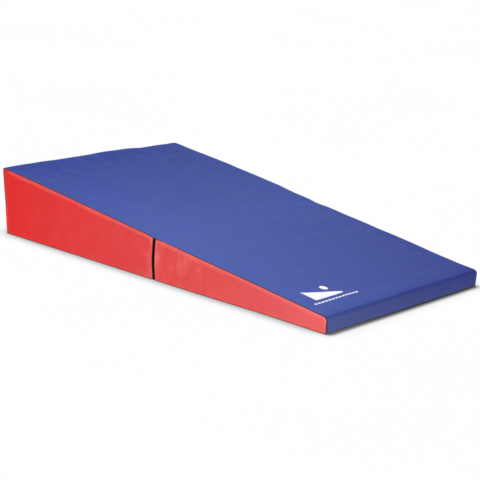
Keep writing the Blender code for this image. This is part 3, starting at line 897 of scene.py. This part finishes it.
def slot_of(half, axis):
    """The zip's opening, from its tapes: extent along the axis, then in height."""
    upper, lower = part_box(f"{half}_zip_upper_tape"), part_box(f"{half}_zip_lower_tape")
    air = 0.0003
    return (upper[0][axis] - air, upper[1][axis] + air, lower[0].z - air, upper[1].z + air)


def build_side(half, side, seed):
    left, right = SPANS[half]
    face, outward = (NEAR, -1) if side == "near" else (FAR, 1)
    zipped = half == "low" and side == "far"
    start = left + SINK["end" if half == "tall" else "fold"]
    stop = right - SINK["fold" if half == "tall" else "top"]
    if zipped:
        slot = slot_of("low", 0)
        x = joined(across(start, slot[0]), across(slot[0], slot[1]), across(slot[1], stop))
        top = side_top(x)
        level = np.ones(len(x))
        z = joined(across(level * SINK["bottom"], slot[2]), across(level * slot[2], slot[3]),
                   across(slot[3], top))
    else:
        x = across(start, stop)
        top = side_top(x)
        z = across(SINK["bottom"], top)
    base, normals = plane_grid(1, face, outward, x, z)
    x_grid = base[..., 0]
    edges = [(x_grid - left, start - left), (z, SINK["bottom"])]
    if half == "tall":
        edges += [(right - x_grid, SINK["fold"]), ((top_height(x_grid) - z) * math.cos(SLOPE), SINK["top"])]
    else:
        edges.append((front_distance(x_grid, z), SINK["top"]))
    height = 0.24 if half == "tall" else 0.14
    grid = blown_sheet(right - left, height, [(right - left - 0.08, 0.05, 0.06), (0.2, height - 0.05, 0.05)],
                       seed)
    relief = SIDE_CROWN * sampled(grid, (x_grid - left) / (right - left), z / top[:, None])
    inside = smooth(np.minimum.reduce([distance for distance, _ in edges]) / 0.03)
    relief = relief + creases(x_grid, z, SIDE_CREASES[half]) * inside
    if zipped:
        gap = slot_distance(x_grid, z, slot)
        relief = relief * smooth(gap / 0.025)
        cover = add_cover("low_far_side_cover", "side", base, normals, edges, relief, gap <= 1e-7,
                          np.clip(gap, 0, None))
    else:
        cover = add_cover(f"{half}_{side}_side_cover", "side", base, normals, edges, relief)
    finish_piece(cover, RED, f"{half}_section", [f"{half}_{side}_side_panel"])


def build_tall_end():
    slot = slot_of("tall", 1)
    top = TALL_HEIGHT - SINK["top"]
    y = joined(across(NEAR + SINK["side"], slot[0]), across(slot[0], slot[1]),
               across(slot[1], FAR - SINK["side"]))
    z = joined(across(SINK["bottom"], slot[2]), across(slot[2], slot[3]), across(slot[3], top))
    base, normals = plane_grid(0, TALL_END, -1, y, z)
    y_grid, z_grid = base[..., 1], base[..., 2]
    edges = side_edges(y_grid) + [(z_grid, SINK["bottom"]), (TALL_HEIGHT - z_grid, SINK["top"])]
    grid = blown_sheet(WIDTH, TALL_HEIGHT, [(0.2, 0.25, 0.08), (1.05, 0.2, 0.07)], 31)
    relief = SIDE_CROWN * sampled(grid, (y_grid - NEAR) / WIDTH, z_grid / TALL_HEIGHT)
    gap = slot_distance(y_grid, z_grid, slot)
    calm = smooth(gap / 0.030)
    for side in ("near", "far"):
        for end in ("inner", "outer"):
            low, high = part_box(f"{side}_handle_{end}_tab")
            beside = slot_distance(y_grid, z_grid, (low.y, high.y, low.z, high.z))
            calm = calm * smooth((beside - 0.002) / 0.05)
    cover = add_cover("tall_end_cover", "end", base, normals, edges, relief * calm, gap <= 1e-7,
                      np.clip(gap, 0, None))
    finish_piece(cover, RED, "tall_section", ["tall_end_panel"])


def build_fold_face(half):
    face, outward = (TALL_FOLD, 1) if half == "tall" else (LOW_FOLD, -1)
    y = across(NEAR + SINK["side"], FAR - SINK["side"])
    z = across(SINK["bottom"], top_height(face) - FOLD_DROP)
    base, normals = plane_grid(0, face, outward, y, z)
    edges = side_edges(base[..., 1]) + [(base[..., 2], SINK["bottom"])]
    cover = add_cover(f"{half}_fold_cover", "fold", base, normals, edges, 0 * base[..., 0])
    finish_piece(cover, BLACK, f"{half}_section", [f"{half}_fold_panel"])


def build_bottom(half):
    left, right = SPANS[half]
    starts = [SINK["end"], SINK["fold"]] if half == "tall" else [SINK["fold"], SINK["top"]]
    x = across(left + starts[0], right - starts[1])
    y = across(NEAR + SINK["side"], FAR - SINK["side"])
    base, normals = plane_grid(2, 0, -1, x, y)
    x_grid = base[..., 0]
    edges = [(x_grid - left, starts[0]), (right - x_grid, starts[1])] + side_edges(base[..., 1])
    cover = add_cover(f"{half}_bottom_cover", "bottom", base, normals, edges, 0 * x_grid)
    finish_piece(cover, BLACK, f"{half}_section", [f"{half}_bottom_panel"])


# ---------------------------------------------------------------- foam

def inset_outline(outline, distance):
    """A convex (x, z) outline moved inwards, with the corners kept."""
    points = np.array(outline)
    centre = points.mean(0)
    moved = []
    for before, point, after in zip(np.roll(points, 1, 0), points, np.roll(points, -1, 0)):
        lines = []
        for a, b in ((before, point), (point, after)):
            along = (b - a) / np.linalg.norm(b - a)
            side = np.array([-along[1], along[0]])
            side = side if side @ (centre - a) > 0 else -side
            lines.append((side, side @ point + distance))
        moved.append(np.linalg.solve(np.array([lines[0][0], lines[1][0]]),
                                     [lines[0][1], lines[1][1]]))
    return np.array(moved)


def fine_outline(corners, step, radius):
    """An outline with rounded corners and points at even steps along its sides."""
    points = []
    count = len(corners)
    for number in range(count):
        before, corner, after = corners[number - 1], corners[number], corners[(number + 1) % count]
        back = (before - corner) / np.linalg.norm(before - corner)
        ahead = (after - corner) / np.linalg.norm(after - corner)
        for share in np.linspace(0, 1, 5):
            points.append(corner + radius * (back * (1 - share) ** 2 + ahead * share ** 2))
        length = np.linalg.norm(after - corner) - 2 * radius
        for share in np.linspace(0, 1, max(2, round(length / step)) + 1)[1:-1]:
            points.append(corner + ahead * (radius + length * share))
    return np.array(points)


def build_foam(name, corners, body):
    """A foam block with softened edges, from its crisp (x, z) outline."""
    stations = [(NEAR + 0.006 + FOAM_EDGE * (1 - math.cos(t)), FOAM_EDGE * (1 - math.sin(t)))
                for t in np.linspace(0, math.pi / 2, 4)]
    middle = [(y, 0.0) for y in np.linspace(NEAR + 0.03, FAR - 0.03, 16)]
    rings = stations + middle + [(-y, drop) for y, drop in reversed(stations)]
    outer = fine_outline(inset_outline(corners, FOAM_INSET), 0.06, FOAM_CORNER)
    centre = outer.mean(0)
    points = []
    for y, drop in rings:
        away = outer - centre
        shrunk = centre + away * (1 - drop / np.abs(away).max(0))
        points += [(x, y, z) for x, z in shrunk]
    foam = add_mesh(name, settle(np.array(points)), lofted(len(rings), len(outer)))
    mesh = bmesh.new()
    mesh.from_mesh(foam.data)
    bmesh.ops.recalc_face_normals(mesh, faces=mesh.faces)
    mesh.to_mesh(foam.data)
    mesh.free()
    finish_piece(foam, FOAM, body, [name])


def build_foams():
    for half in ("tall", "low"):
        low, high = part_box(f"{half}_foam_slab")
        left, right, joint = low.x, high.x, high.z
        left_top, right_top = top_height(left) - FOAM_GAP, top_height(right) - FOAM_GAP
        if half == "low":
            joint = min(joint, BEND_Z)
            thin = right - LOW_END_RADIUS
            tip = (thin, top_height(thin) - FOAM_GAP)
        else:
            tip = (right, right_top)
        slab_outline = [(left, FOAM_GAP), (right, FOAM_GAP), (right, joint), (left, joint)]
        wedge_outline = [(left, joint), (right, joint), tip, (left, left_top)]
        build_foam(f"{half}_foam_slab", slab_outline, f"{half}_section")
        build_foam(f"{half}_foam_wedge", wedge_outline, f"{half}_section")


# ---------------------------------------------------------------- stitches and small goods

def capsules(name, starts, ends, outs, radius, sides=6):
    """Rows of short round threads from start to end, each bowed a little along its out direction."""
    starts, ends, outs = (np.asarray(part, float) for part in (starts, ends, outs))
    along = ends - starts
    along /= np.linalg.norm(along, axis=1, keepdims=True)
    beside = np.cross(along, outs)
    points, faces = [], []
    stations = ((0.0, 0.0), (0.07, 0.7), (0.28, 1.0), (0.72, 1.0), (0.93, 0.7), (1.0, 0.0))
    angles = np.arange(sides) * 2 * math.pi / sides
    for share, size in stations:
        centre = starts + (ends - starts) * share + outs * radius * 0.9 * (1 - (2 * share - 1) ** 2)
        if size == 0:
            points.append(centre[:, None])
            continue
        ring = [centre + radius * size * (outs * math.cos(a) + beside * math.sin(a)) for a in angles]
        points.append(np.stack(ring, 1))
    points = np.concatenate(points, 1)
    size = points.shape[1]
    pattern = []
    for number in range(sides):
        other = (number + 1) % sides
        pattern.append([0, 1 + number, 1 + other])
        for ring in range(len(stations) - 3):
            low, high = 1 + ring * sides, 1 + (ring + 1) * sides
            pattern.append([low + number, high + number, high + other, low + other])
        last = 1 + (len(stations) - 3) * sides
        pattern.append([last + number, size - 1, last + other])
    for item in range(len(points)):
        faces += [[corner + item * size for corner in face] for face in pattern]
    return add_mesh(name, points.reshape(-1, 3), faces, 80)


def box_path(left, right, low, high):
    """Corners of a closed rectangle."""
    return [(left, low), (right, low), (right, high), (left, high), (left, low)]


def inner_path(low, high, inset):
    """Corners of a rectangle across the mat, inside the box from low to high."""
    return box_path(low.y + inset, high.y - inset, low.z + inset, high.z - inset)


def stitch_path(corners, out, pitch=STITCH_PITCH, length=STITCH_LENGTH):
    """Start, end and out direction of each stitch along straight lines between corners."""
    rows = []
    for start, end in zip(corners, corners[1:]):
        start, end = np.array(start, float), np.array(end, float)
        span = np.linalg.norm(end - start)
        count = max(1, round(span / pitch))
        along = (end - start) / span
        for number in range(count):
            centre = start + (end - start) * (number + 0.5) / count
            rows.append((centre - along * length / 2, centre + along * length / 2, out))
    return rows


def add_stitches(name, rows, material, body, settled=True):
    starts, ends, outs = (np.array(part, float) for part in zip(*rows))
    if settled:
        starts, ends = settle(starts), settle(ends)
    item = capsules(name, starts, ends, outs, THREAD)
    return finish_piece(item, material, body)


def soft_plate(name, low, high, radius, cell, relief=None):
    """A plate with rounded rims between two corners, as a grid on all six sides."""
    low, high = np.array(low, float), np.array(high, float)
    counts = [max(2, round((high[axis] - low[axis]) / cell)) for axis in range(3)]
    lines = []
    for axis in range(3):
        if high[axis] - low[axis] <= 2.2 * radius:
            lines.append(np.array([low[axis], (low[axis] + high[axis]) / 2, high[axis]]))
            continue
        inner = np.linspace(low[axis] + radius, high[axis] - radius, counts[axis] + 1)
        lines.append(np.concatenate([[low[axis], low[axis] + radius / 3], inner,
                                     [high[axis] - radius / 3, high[axis]]]))
    shape = bmesh.new()
    made = {}

    def vertex(i, j, k):
        if (i, j, k) not in made:
            point = np.array([lines[0][i], lines[1][j], lines[2][k]])
            core = np.clip(point, low + radius, high - radius)
            core = np.where(high - low <= 2 * radius, (low + high) / 2, core)
            away = point - core
            reach = np.linalg.norm(away)
            if reach > radius and reach > 0:
                point = core + away * (radius / reach)
            if relief:
                point = relief(point)
            made[(i, j, k)] = shape.verts.new(point)
        return made[(i, j, k)]

    sizes = [len(line) - 1 for line in lines]
    for axis in range(3):
        a, b = (axis + 1) % 3, (axis + 2) % 3
        for end in (0, sizes[axis]):
            for i in range(sizes[a]):
                for j in range(sizes[b]):
                    corners = []
                    for di, dj in ((0, 0), (1, 0), (1, 1), (0, 1)):
                        key = [0, 0, 0]
                        key[axis], key[a], key[b] = end, i + di, j + dj
                        corners.append(vertex(*key))
                    shape.faces.new(corners if end else corners[::-1])
    bmesh.ops.recalc_face_normals(shape, faces=shape.faces)
    mesh = bpy.data.meshes.new(name)
    shape.to_mesh(mesh)
    shape.free()
    return smooth_object(name, mesh, 60)


def build_strips():
    """Hook and loop strips on the fold faces, with a row of stitches round each."""
    for kind, half, material, out in (("hook", "tall", HOOK, 1), ("loop", "low", LOOP, -1)):
        rows = []
        for side in ("near", "far"):
            node = f"{kind}_strip_{side}"
            low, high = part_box(node)
            strip = soft_plate(node + "_tape", low, high, 0.0009, 0.010)
            finish_piece(strip, material, f"{half}_section", [node])
            face = high.x if out > 0 else low.x
            corners = inner_path(low, high, STRIP_STITCH_INSET)
            rows += stitch_path([(face, y, z) for y, z in corners], (out, 0, 0))
        add_stitches(f"{kind}_strip_stitches", rows, THREAD_BLACK, f"{half}_section", False)


def build_zip(half, axis):
    """Woven tapes, a coil of interlocked loops and the hem stitches of one zip."""
    body = f"{half}_section"
    for part in ("upper", "lower"):
        node = f"{half}_zip_{part}_tape"
        tape = soft_plate(node + "_weave", *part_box(node), 0.00025, 0.020)
        finish_piece(tape, TAPE, body, [node])
    low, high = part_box(f"{half}_zip_coil")
    low, high = np.array(low), np.array(high)
    centre = (low + high) / 2
    out = np.array([-1.0, 0, 0]) if half == "tall" else np.array([0, 1.0, 0])
    run = np.eye(3)[axis]
    depth = (high - low)[1 - axis]
    count = int((high[axis] - low[axis]) / COIL_PITCH) - 1
    places = (np.arange(count) - (count - 1) / 2) * COIL_PITCH
    up = np.array([0, 0, 1.0])
    half_width = (high[2] - low[2]) / 2 - COIL_WIRE
    starts, ends = [], []
    for number, place in enumerate(places):
        sign = 1 if number % 2 else -1
        core = centre + run * place
        starts.append(core + up * sign * half_width - out * depth * 0.12)
        ends.append(core - up * sign * 0.0008 + out * (depth * 0.5 - COIL_WIRE * 2.0))
    coil = capsules(f"{half}_zip_teeth", starts, ends, np.tile(out, (count, 1)), COIL_WIRE)
    finish_piece(coil, COIL, body, [f"{half}_zip_coil"])
    inset = np.array([depth * 0.1, depth * 0.1, 0.0022])
    inset[axis] = 0.001
    cord = soft_plate(f"{half}_zip_cord", low + inset, high - inset, 0.0004, 0.05)
    finish_piece(cord, COIL, body)
    slot = slot_of(half, axis)
    face = TALL_END if half == "tall" else FAR
    margin = ZIP_STITCH_MARGIN
    corners = box_path(slot[0] - margin, slot[1] + margin, slot[2] - margin, slot[3] + margin)
    path = [(face, u, z) if axis == 1 else (u, face, z) for u, z in corners]
    add_stitches(f"{half}_zip_stitches", stitch_path(path, tuple(out)), THREAD_RED, body)


def webbing_section(width, thickness, fold):
    """Outline of a strap across its run as (wide, thick) places: rounded rims, and a groove when folded."""
    half, thick = width / 2, thickness / 2
    rim = thick * 0.9
    points = []
    for turn in np.linspace(-math.pi / 2, math.pi / 2, 7):
        points.append((half - rim + rim * math.cos(turn), thick * math.sin(turn)))
    for place in np.linspace(half - rim, rim - half, 7)[1:-1]:
        points.append((place, thick))
    for turn in np.linspace(math.pi / 2, 3 * math.pi / 2, 7):
        groove = fold * thick * 1.3 * math.exp(-((turn - math.pi) / 0.45) ** 2)
        points.append((rim - half + (rim - groove) * math.cos(turn), thick * math.sin(turn)))
    for place in np.linspace(rim - half, half - rim, 7)[1:-1]:
        points.append((place, -thick))
    return np.array(points)


def build_handle(side):
    inner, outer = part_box(f"{side}_handle_inner_tab"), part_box(f"{side}_handle_outer_tab")
    grip_low, grip_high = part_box(f"{side}_handle_grip")
    joint = next(j for j in frame["joints"] if j["name"] == f"{side}_handle_lift")
    pivot = np.array(joint["pos_m"], float)
    middle = (grip_low.y + grip_high.y) / 2
    reach = (grip_high.y - grip_low.y) / 2
    droop = math.atan2(pivot[2] - (grip_low.z + 0.004), pivot[0] - (grip_low.x + 0.004))
    for end, sign in (("a", -1), ("b", 1)):
        rings = []
        for share in np.concatenate([np.linspace(0, 0.45, 16), np.linspace(0.45, 1, 8)[1:]]):
            y = middle + sign * reach * (1 - share)
            rise = float(smooth(share / 0.42))
            turn = droop * rise
            swing = np.array([-math.cos(droop), 0, -math.sin(droop)]) * STRAP_BOW * rise
            out = np.array([-math.cos(turn), 0, -math.sin(turn)])
            wide = np.array([-math.sin(turn), 0, math.cos(turn)])
            section = webbing_section(between(rise, STRAP_WIDTHS), between(rise, STRAP_THICKNESSES), rise)
            centre = np.array([pivot[0], y, pivot[2]]) + swing
            rings.append(centre + section[:, :1] * wide + section[:, 1:] * out)
        faces = lofted(len(rings), len(rings[0]))
        if sign > 0:
            faces = [face[::-1] for face in faces]
        strap = add_mesh(f"{side}_handle_strap_{end}", np.concatenate(rings), faces, 60)
        finish_piece(strap, WEBBING, replaced=[f"{side}_handle_grip"])
        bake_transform(strap)
    rows = []
    for end, (low, high) in (("inner", inner), ("outer", outer)):
        tab = soft_plate(f"{side}_handle_{end}_patch", low, high, 0.0009, 0.0045)
        finish_piece(tab, WEBBING, "tall_section", [f"{side}_handle_{end}_tab"])
        corners = [(low.x, y, z) for y, z in inner_path(low, high, 0.004)]
        for path in (corners, corners[::2][:2], [corners[3], corners[1]]):
            rows += stitch_path(path, (-1, 0, 0), 0.0036, 0.0028)
    add_stitches(f"{side}_handle_stitches", rows, THREAD_BLACK, "tall_section", False)


def build_mark(surface):
    """A generic white pictogram of a ramp and a ball over a row of dashes, printed near the low end."""
    base, relief = surface
    x_line = base[:, 0, 0]
    y_line = base[0, :, 1]
    slope_rows = x_line < BEND_X
    x_line = x_line[slope_rows]

    def lifted(x, y, lift):
        column = np.clip(np.searchsorted(x_line, x) - 1, 0, len(x_line) - 2)
        row = np.clip(np.searchsorted(y_line, y) - 1, 0, len(y_line) - 2)
        a = (x - x_line[column]) / (x_line[column + 1] - x_line[column])
        b = (y - y_line[row]) / (y_line[row + 1] - y_line[row])
        rise = (relief[column, row] * (1 - a) * (1 - b) + relief[column + 1, row] * a * (1 - b)
                + relief[column, row + 1] * (1 - a) * b + relief[column + 1, row + 1] * a * b)
        points = np.stack([x, y, top_height(x)], -1)
        normal = np.array([math.sin(SLOPE), 0, math.cos(SLOPE)])
        return settle(points + normal * (rise + lift)[..., None])

    def patch(place, columns, rows):
        """A closed film over a map from the unit square to (x, y) places."""
        u, v = np.meshgrid(np.linspace(0, 1, columns + 1), np.linspace(0, 1, rows + 1), indexing="ij")
        x, y = place(u, v)
        upper, lower = lifted(x, y, 0.00028), lifted(x, y, -0.0002)
        quads = grid_quads(*u.shape).reshape(-1, 4)
        a, b, c = upper[0, 0], upper[-1, 0], upper[-1, -1]
        if np.cross(b - a, c - a)[2] < 0:
            quads = quads[:, ::-1]
        return np.concatenate([upper.reshape(-1, 3), lower.reshape(-1, 3)]), closed_shell(quads, u.size)

    left, right = MARK_SIDES
    head, foot = MARK_ENDS

    def ramp(u, v):
        y = left + (right - left) * u
        height = 0.010 + (foot - head - 0.030) * (1 - u)
        return foot - height * v, y

    def ball(u, v):
        turn = math.pi * (1 - v)
        reach = BALL_RADIUS * np.cos(math.pi * (u - 0.5))
        centre_x, centre_y = head + 0.032, right - 0.045
        return centre_x - BALL_RADIUS * np.sin(math.pi * (u - 0.5)), centre_y + reach * np.cos(turn)

    def dash(number):
        first = left - 0.044
        return lambda u, v: (foot + 0.020 + DASH_SIZE[0] * v, first + DASH_PITCH * number + DASH_SIZE[1] * u)

    points, faces = [], []
    total = 0
    dashes = [(dash(number), 4, 3) for number in range(DASHES)]
    for place, columns, rows in [(ramp, 40, 16), (ball, 20, 12)] + dashes:
        part_points, part_faces = patch(place, columns, rows)
        points.append(part_points)
        faces += [[corner + total for corner in face] for face in part_faces]
        total += len(part_points)
    mark = add_mesh("printed_mark", np.concatenate(points), faces, 60)
    finish_piece(mark, PRINT, "low_section")


def build_metal():
    """The zip sliders and pulls keep their CAD shapes, with softened edges and brushed metal."""
    for half in ("tall", "low"):
        for part in ("slider", "pull"):
            node = frame["nodes"][f"{half}_zip_{part}"]
            node.data.materials.clear()
            node.data.materials.append(METAL)
            bevel = node.modifiers.new("softened edges", "BEVEL")
            bevel.width = 0.0002
            bevel.segments = 2
            bevel.angle_limit = math.radians(40)


# ---------------------------------------------------------------- stage

def add_area_light(name, place, target, size, power, colour=(1, 1, 1)):
    data = bpy.data.lights.new(name, "AREA")
    data.shape = "RECTANGLE"
    data.size, data.size_y = size
    data.energy = power
    data.color = colour
    light = add_object(name, data)
    light.location = place
    light.rotation_mode = "QUATERNION"
    light.rotation_quaternion = (Vector(target) - Vector(place)).to_track_quat("-Z", "Y")


def floor_material():
    """A bright seamless floor. It glows evenly, and to the camera alone it shows a painted contact shadow
    where something stands close to it.
    """
    g = Graph("pale_floor")
    sky = g.node("AmbientOcclusion", {"Distance": 0.10}, "AO", samples=24)
    towards_mat = g.node("CombineXYZ", {"X": -0.75, "Y": 0.0, "Z": 0.66})
    # a second, tilted occlusion paints a darker shadow just past the low end
    beside = g.node("AmbientOcclusion", {"Distance": 0.036, "Normal": towards_mat}, "AO", samples=24)
    place = g.node("NewGeometry", output="Position")
    past_low_end = g.spread(g.part(place, "X"), LOW_END - 0.01, LOW_END + 0.01)
    dark = g.times(g.spread(beside, 0.35, 0.97, 0.95, 0.0), past_low_end)
    covered = g.maths("POWER", g.maths("SUBTRACT", 1.0, sky), 1.7)
    open_sky = g.maths("SUBTRACT", 1.0, g.times(covered, 1.71), clamp=True)
    shade = g.times(open_sky, g.maths("SUBTRACT", 1.0, dark))
    seen = g.node("LightPath", output="Is Camera Ray")
    strength = g.spread(seen, 0.0, 1.0, FLOOR_GLOW, shade)
    grain = g.noise(g.node("TexCoord", output="Object"), 0.8, 3.0)
    tint = g.mix(grain, (1.0, 1.0, 1.0, 1), (0.99, 0.99, 0.99, 1))
    g.feed(g.shader, {"Emission Color": tint, "Emission Strength": strength})
    return g.finish(colour=(0, 0, 0, 1), roughness=1.0, specular=0.0)


def build_world():
    """White to the camera. As a light it is strongest from above and from the near side."""
    g = Graph("studio", bpy.data.worlds, "Background")
    place = g.node("TexCoord", output="Generated")
    facing = g.node("VectorMath", {0: place, 1: Vector(WORLD_FROM).normalized()}, "Value",
                    operation="DOT_PRODUCT")
    glow = g.spread(facing, -0.3, 1.0, WORLD_DIM, WORLD_BRIGHT)
    seen = g.node("LightPath", output="Is Camera Ray")
    strength = g.node("Mix", {0: g.spread(seen, 0.0, 1.0), 2: glow, 3: 1.0})
    g.feed(g.shader, {"Color": (1, 1, 1, 1), "Strength": strength})
    bpy.context.scene.world = g.owner


def build_stage():
    floor = add_mesh("floor", [(x, y, -0.0004) for x, y in ((-60, -60), (60, -60), (60, 60), (-60, 60))],
                     [[0, 1, 2, 3]])
    floor.data.materials.append(floor_material())
    build_world()
    add_area_light("overhead", (-0.2, -1.1, 2.3), (0.0, -0.2, 0.1), (1.6, 1.6), 16)
    add_area_light("front", (1.60, -1.50, 0.16), (0.90, -0.5, 0.03), (0.5, 0.2), 4, (1.0, 0.97, 0.90))
    bpy.context.scene.view_settings.view_transform = "Standard"


def build_camera():
    azimuth, elevation, roll = (math.radians(angle) for angle in CAMERA_ANGLES)
    back = Vector((math.sin(azimuth) * math.cos(elevation), -math.cos(azimuth) * math.cos(elevation),
                   math.sin(elevation)))
    level = Vector((0, 0, 1)).cross(back).normalized()
    above = back.cross(level)
    right = level * math.cos(roll) + above * math.sin(roll)
    up = above * math.cos(roll) - level * math.sin(roll)
    data = bpy.data.cameras.new("camera")
    data.sensor_width = 36
    data.lens = CAMERA_LENS
    camera = add_object("camera", data)
    turn = Matrix((right, up, back)).transposed()
    camera.matrix_world = Matrix.Translation(Vector(CAMERA_AIM) + back * CAMERA_DISTANCE) @ turn.to_4x4()
    bpy.context.scene.camera = camera


def main():
    surface = build_sheet()
    for number, (half, side) in enumerate((h, s) for h in ("tall", "low") for s in ("near", "far")):
        build_side(half, side, 20 + number)
    build_tall_end()
    for half in ("tall", "low"):
        build_fold_face(half)
        build_bottom(half)
    build_foams()
    build_strips()
    build_zip("tall", 1)
    build_zip("low", 0)
    build_handle("near")
    build_handle("far")
    build_metal()
    build_mark(surface)
    build_stage()
    build_camera()


main()
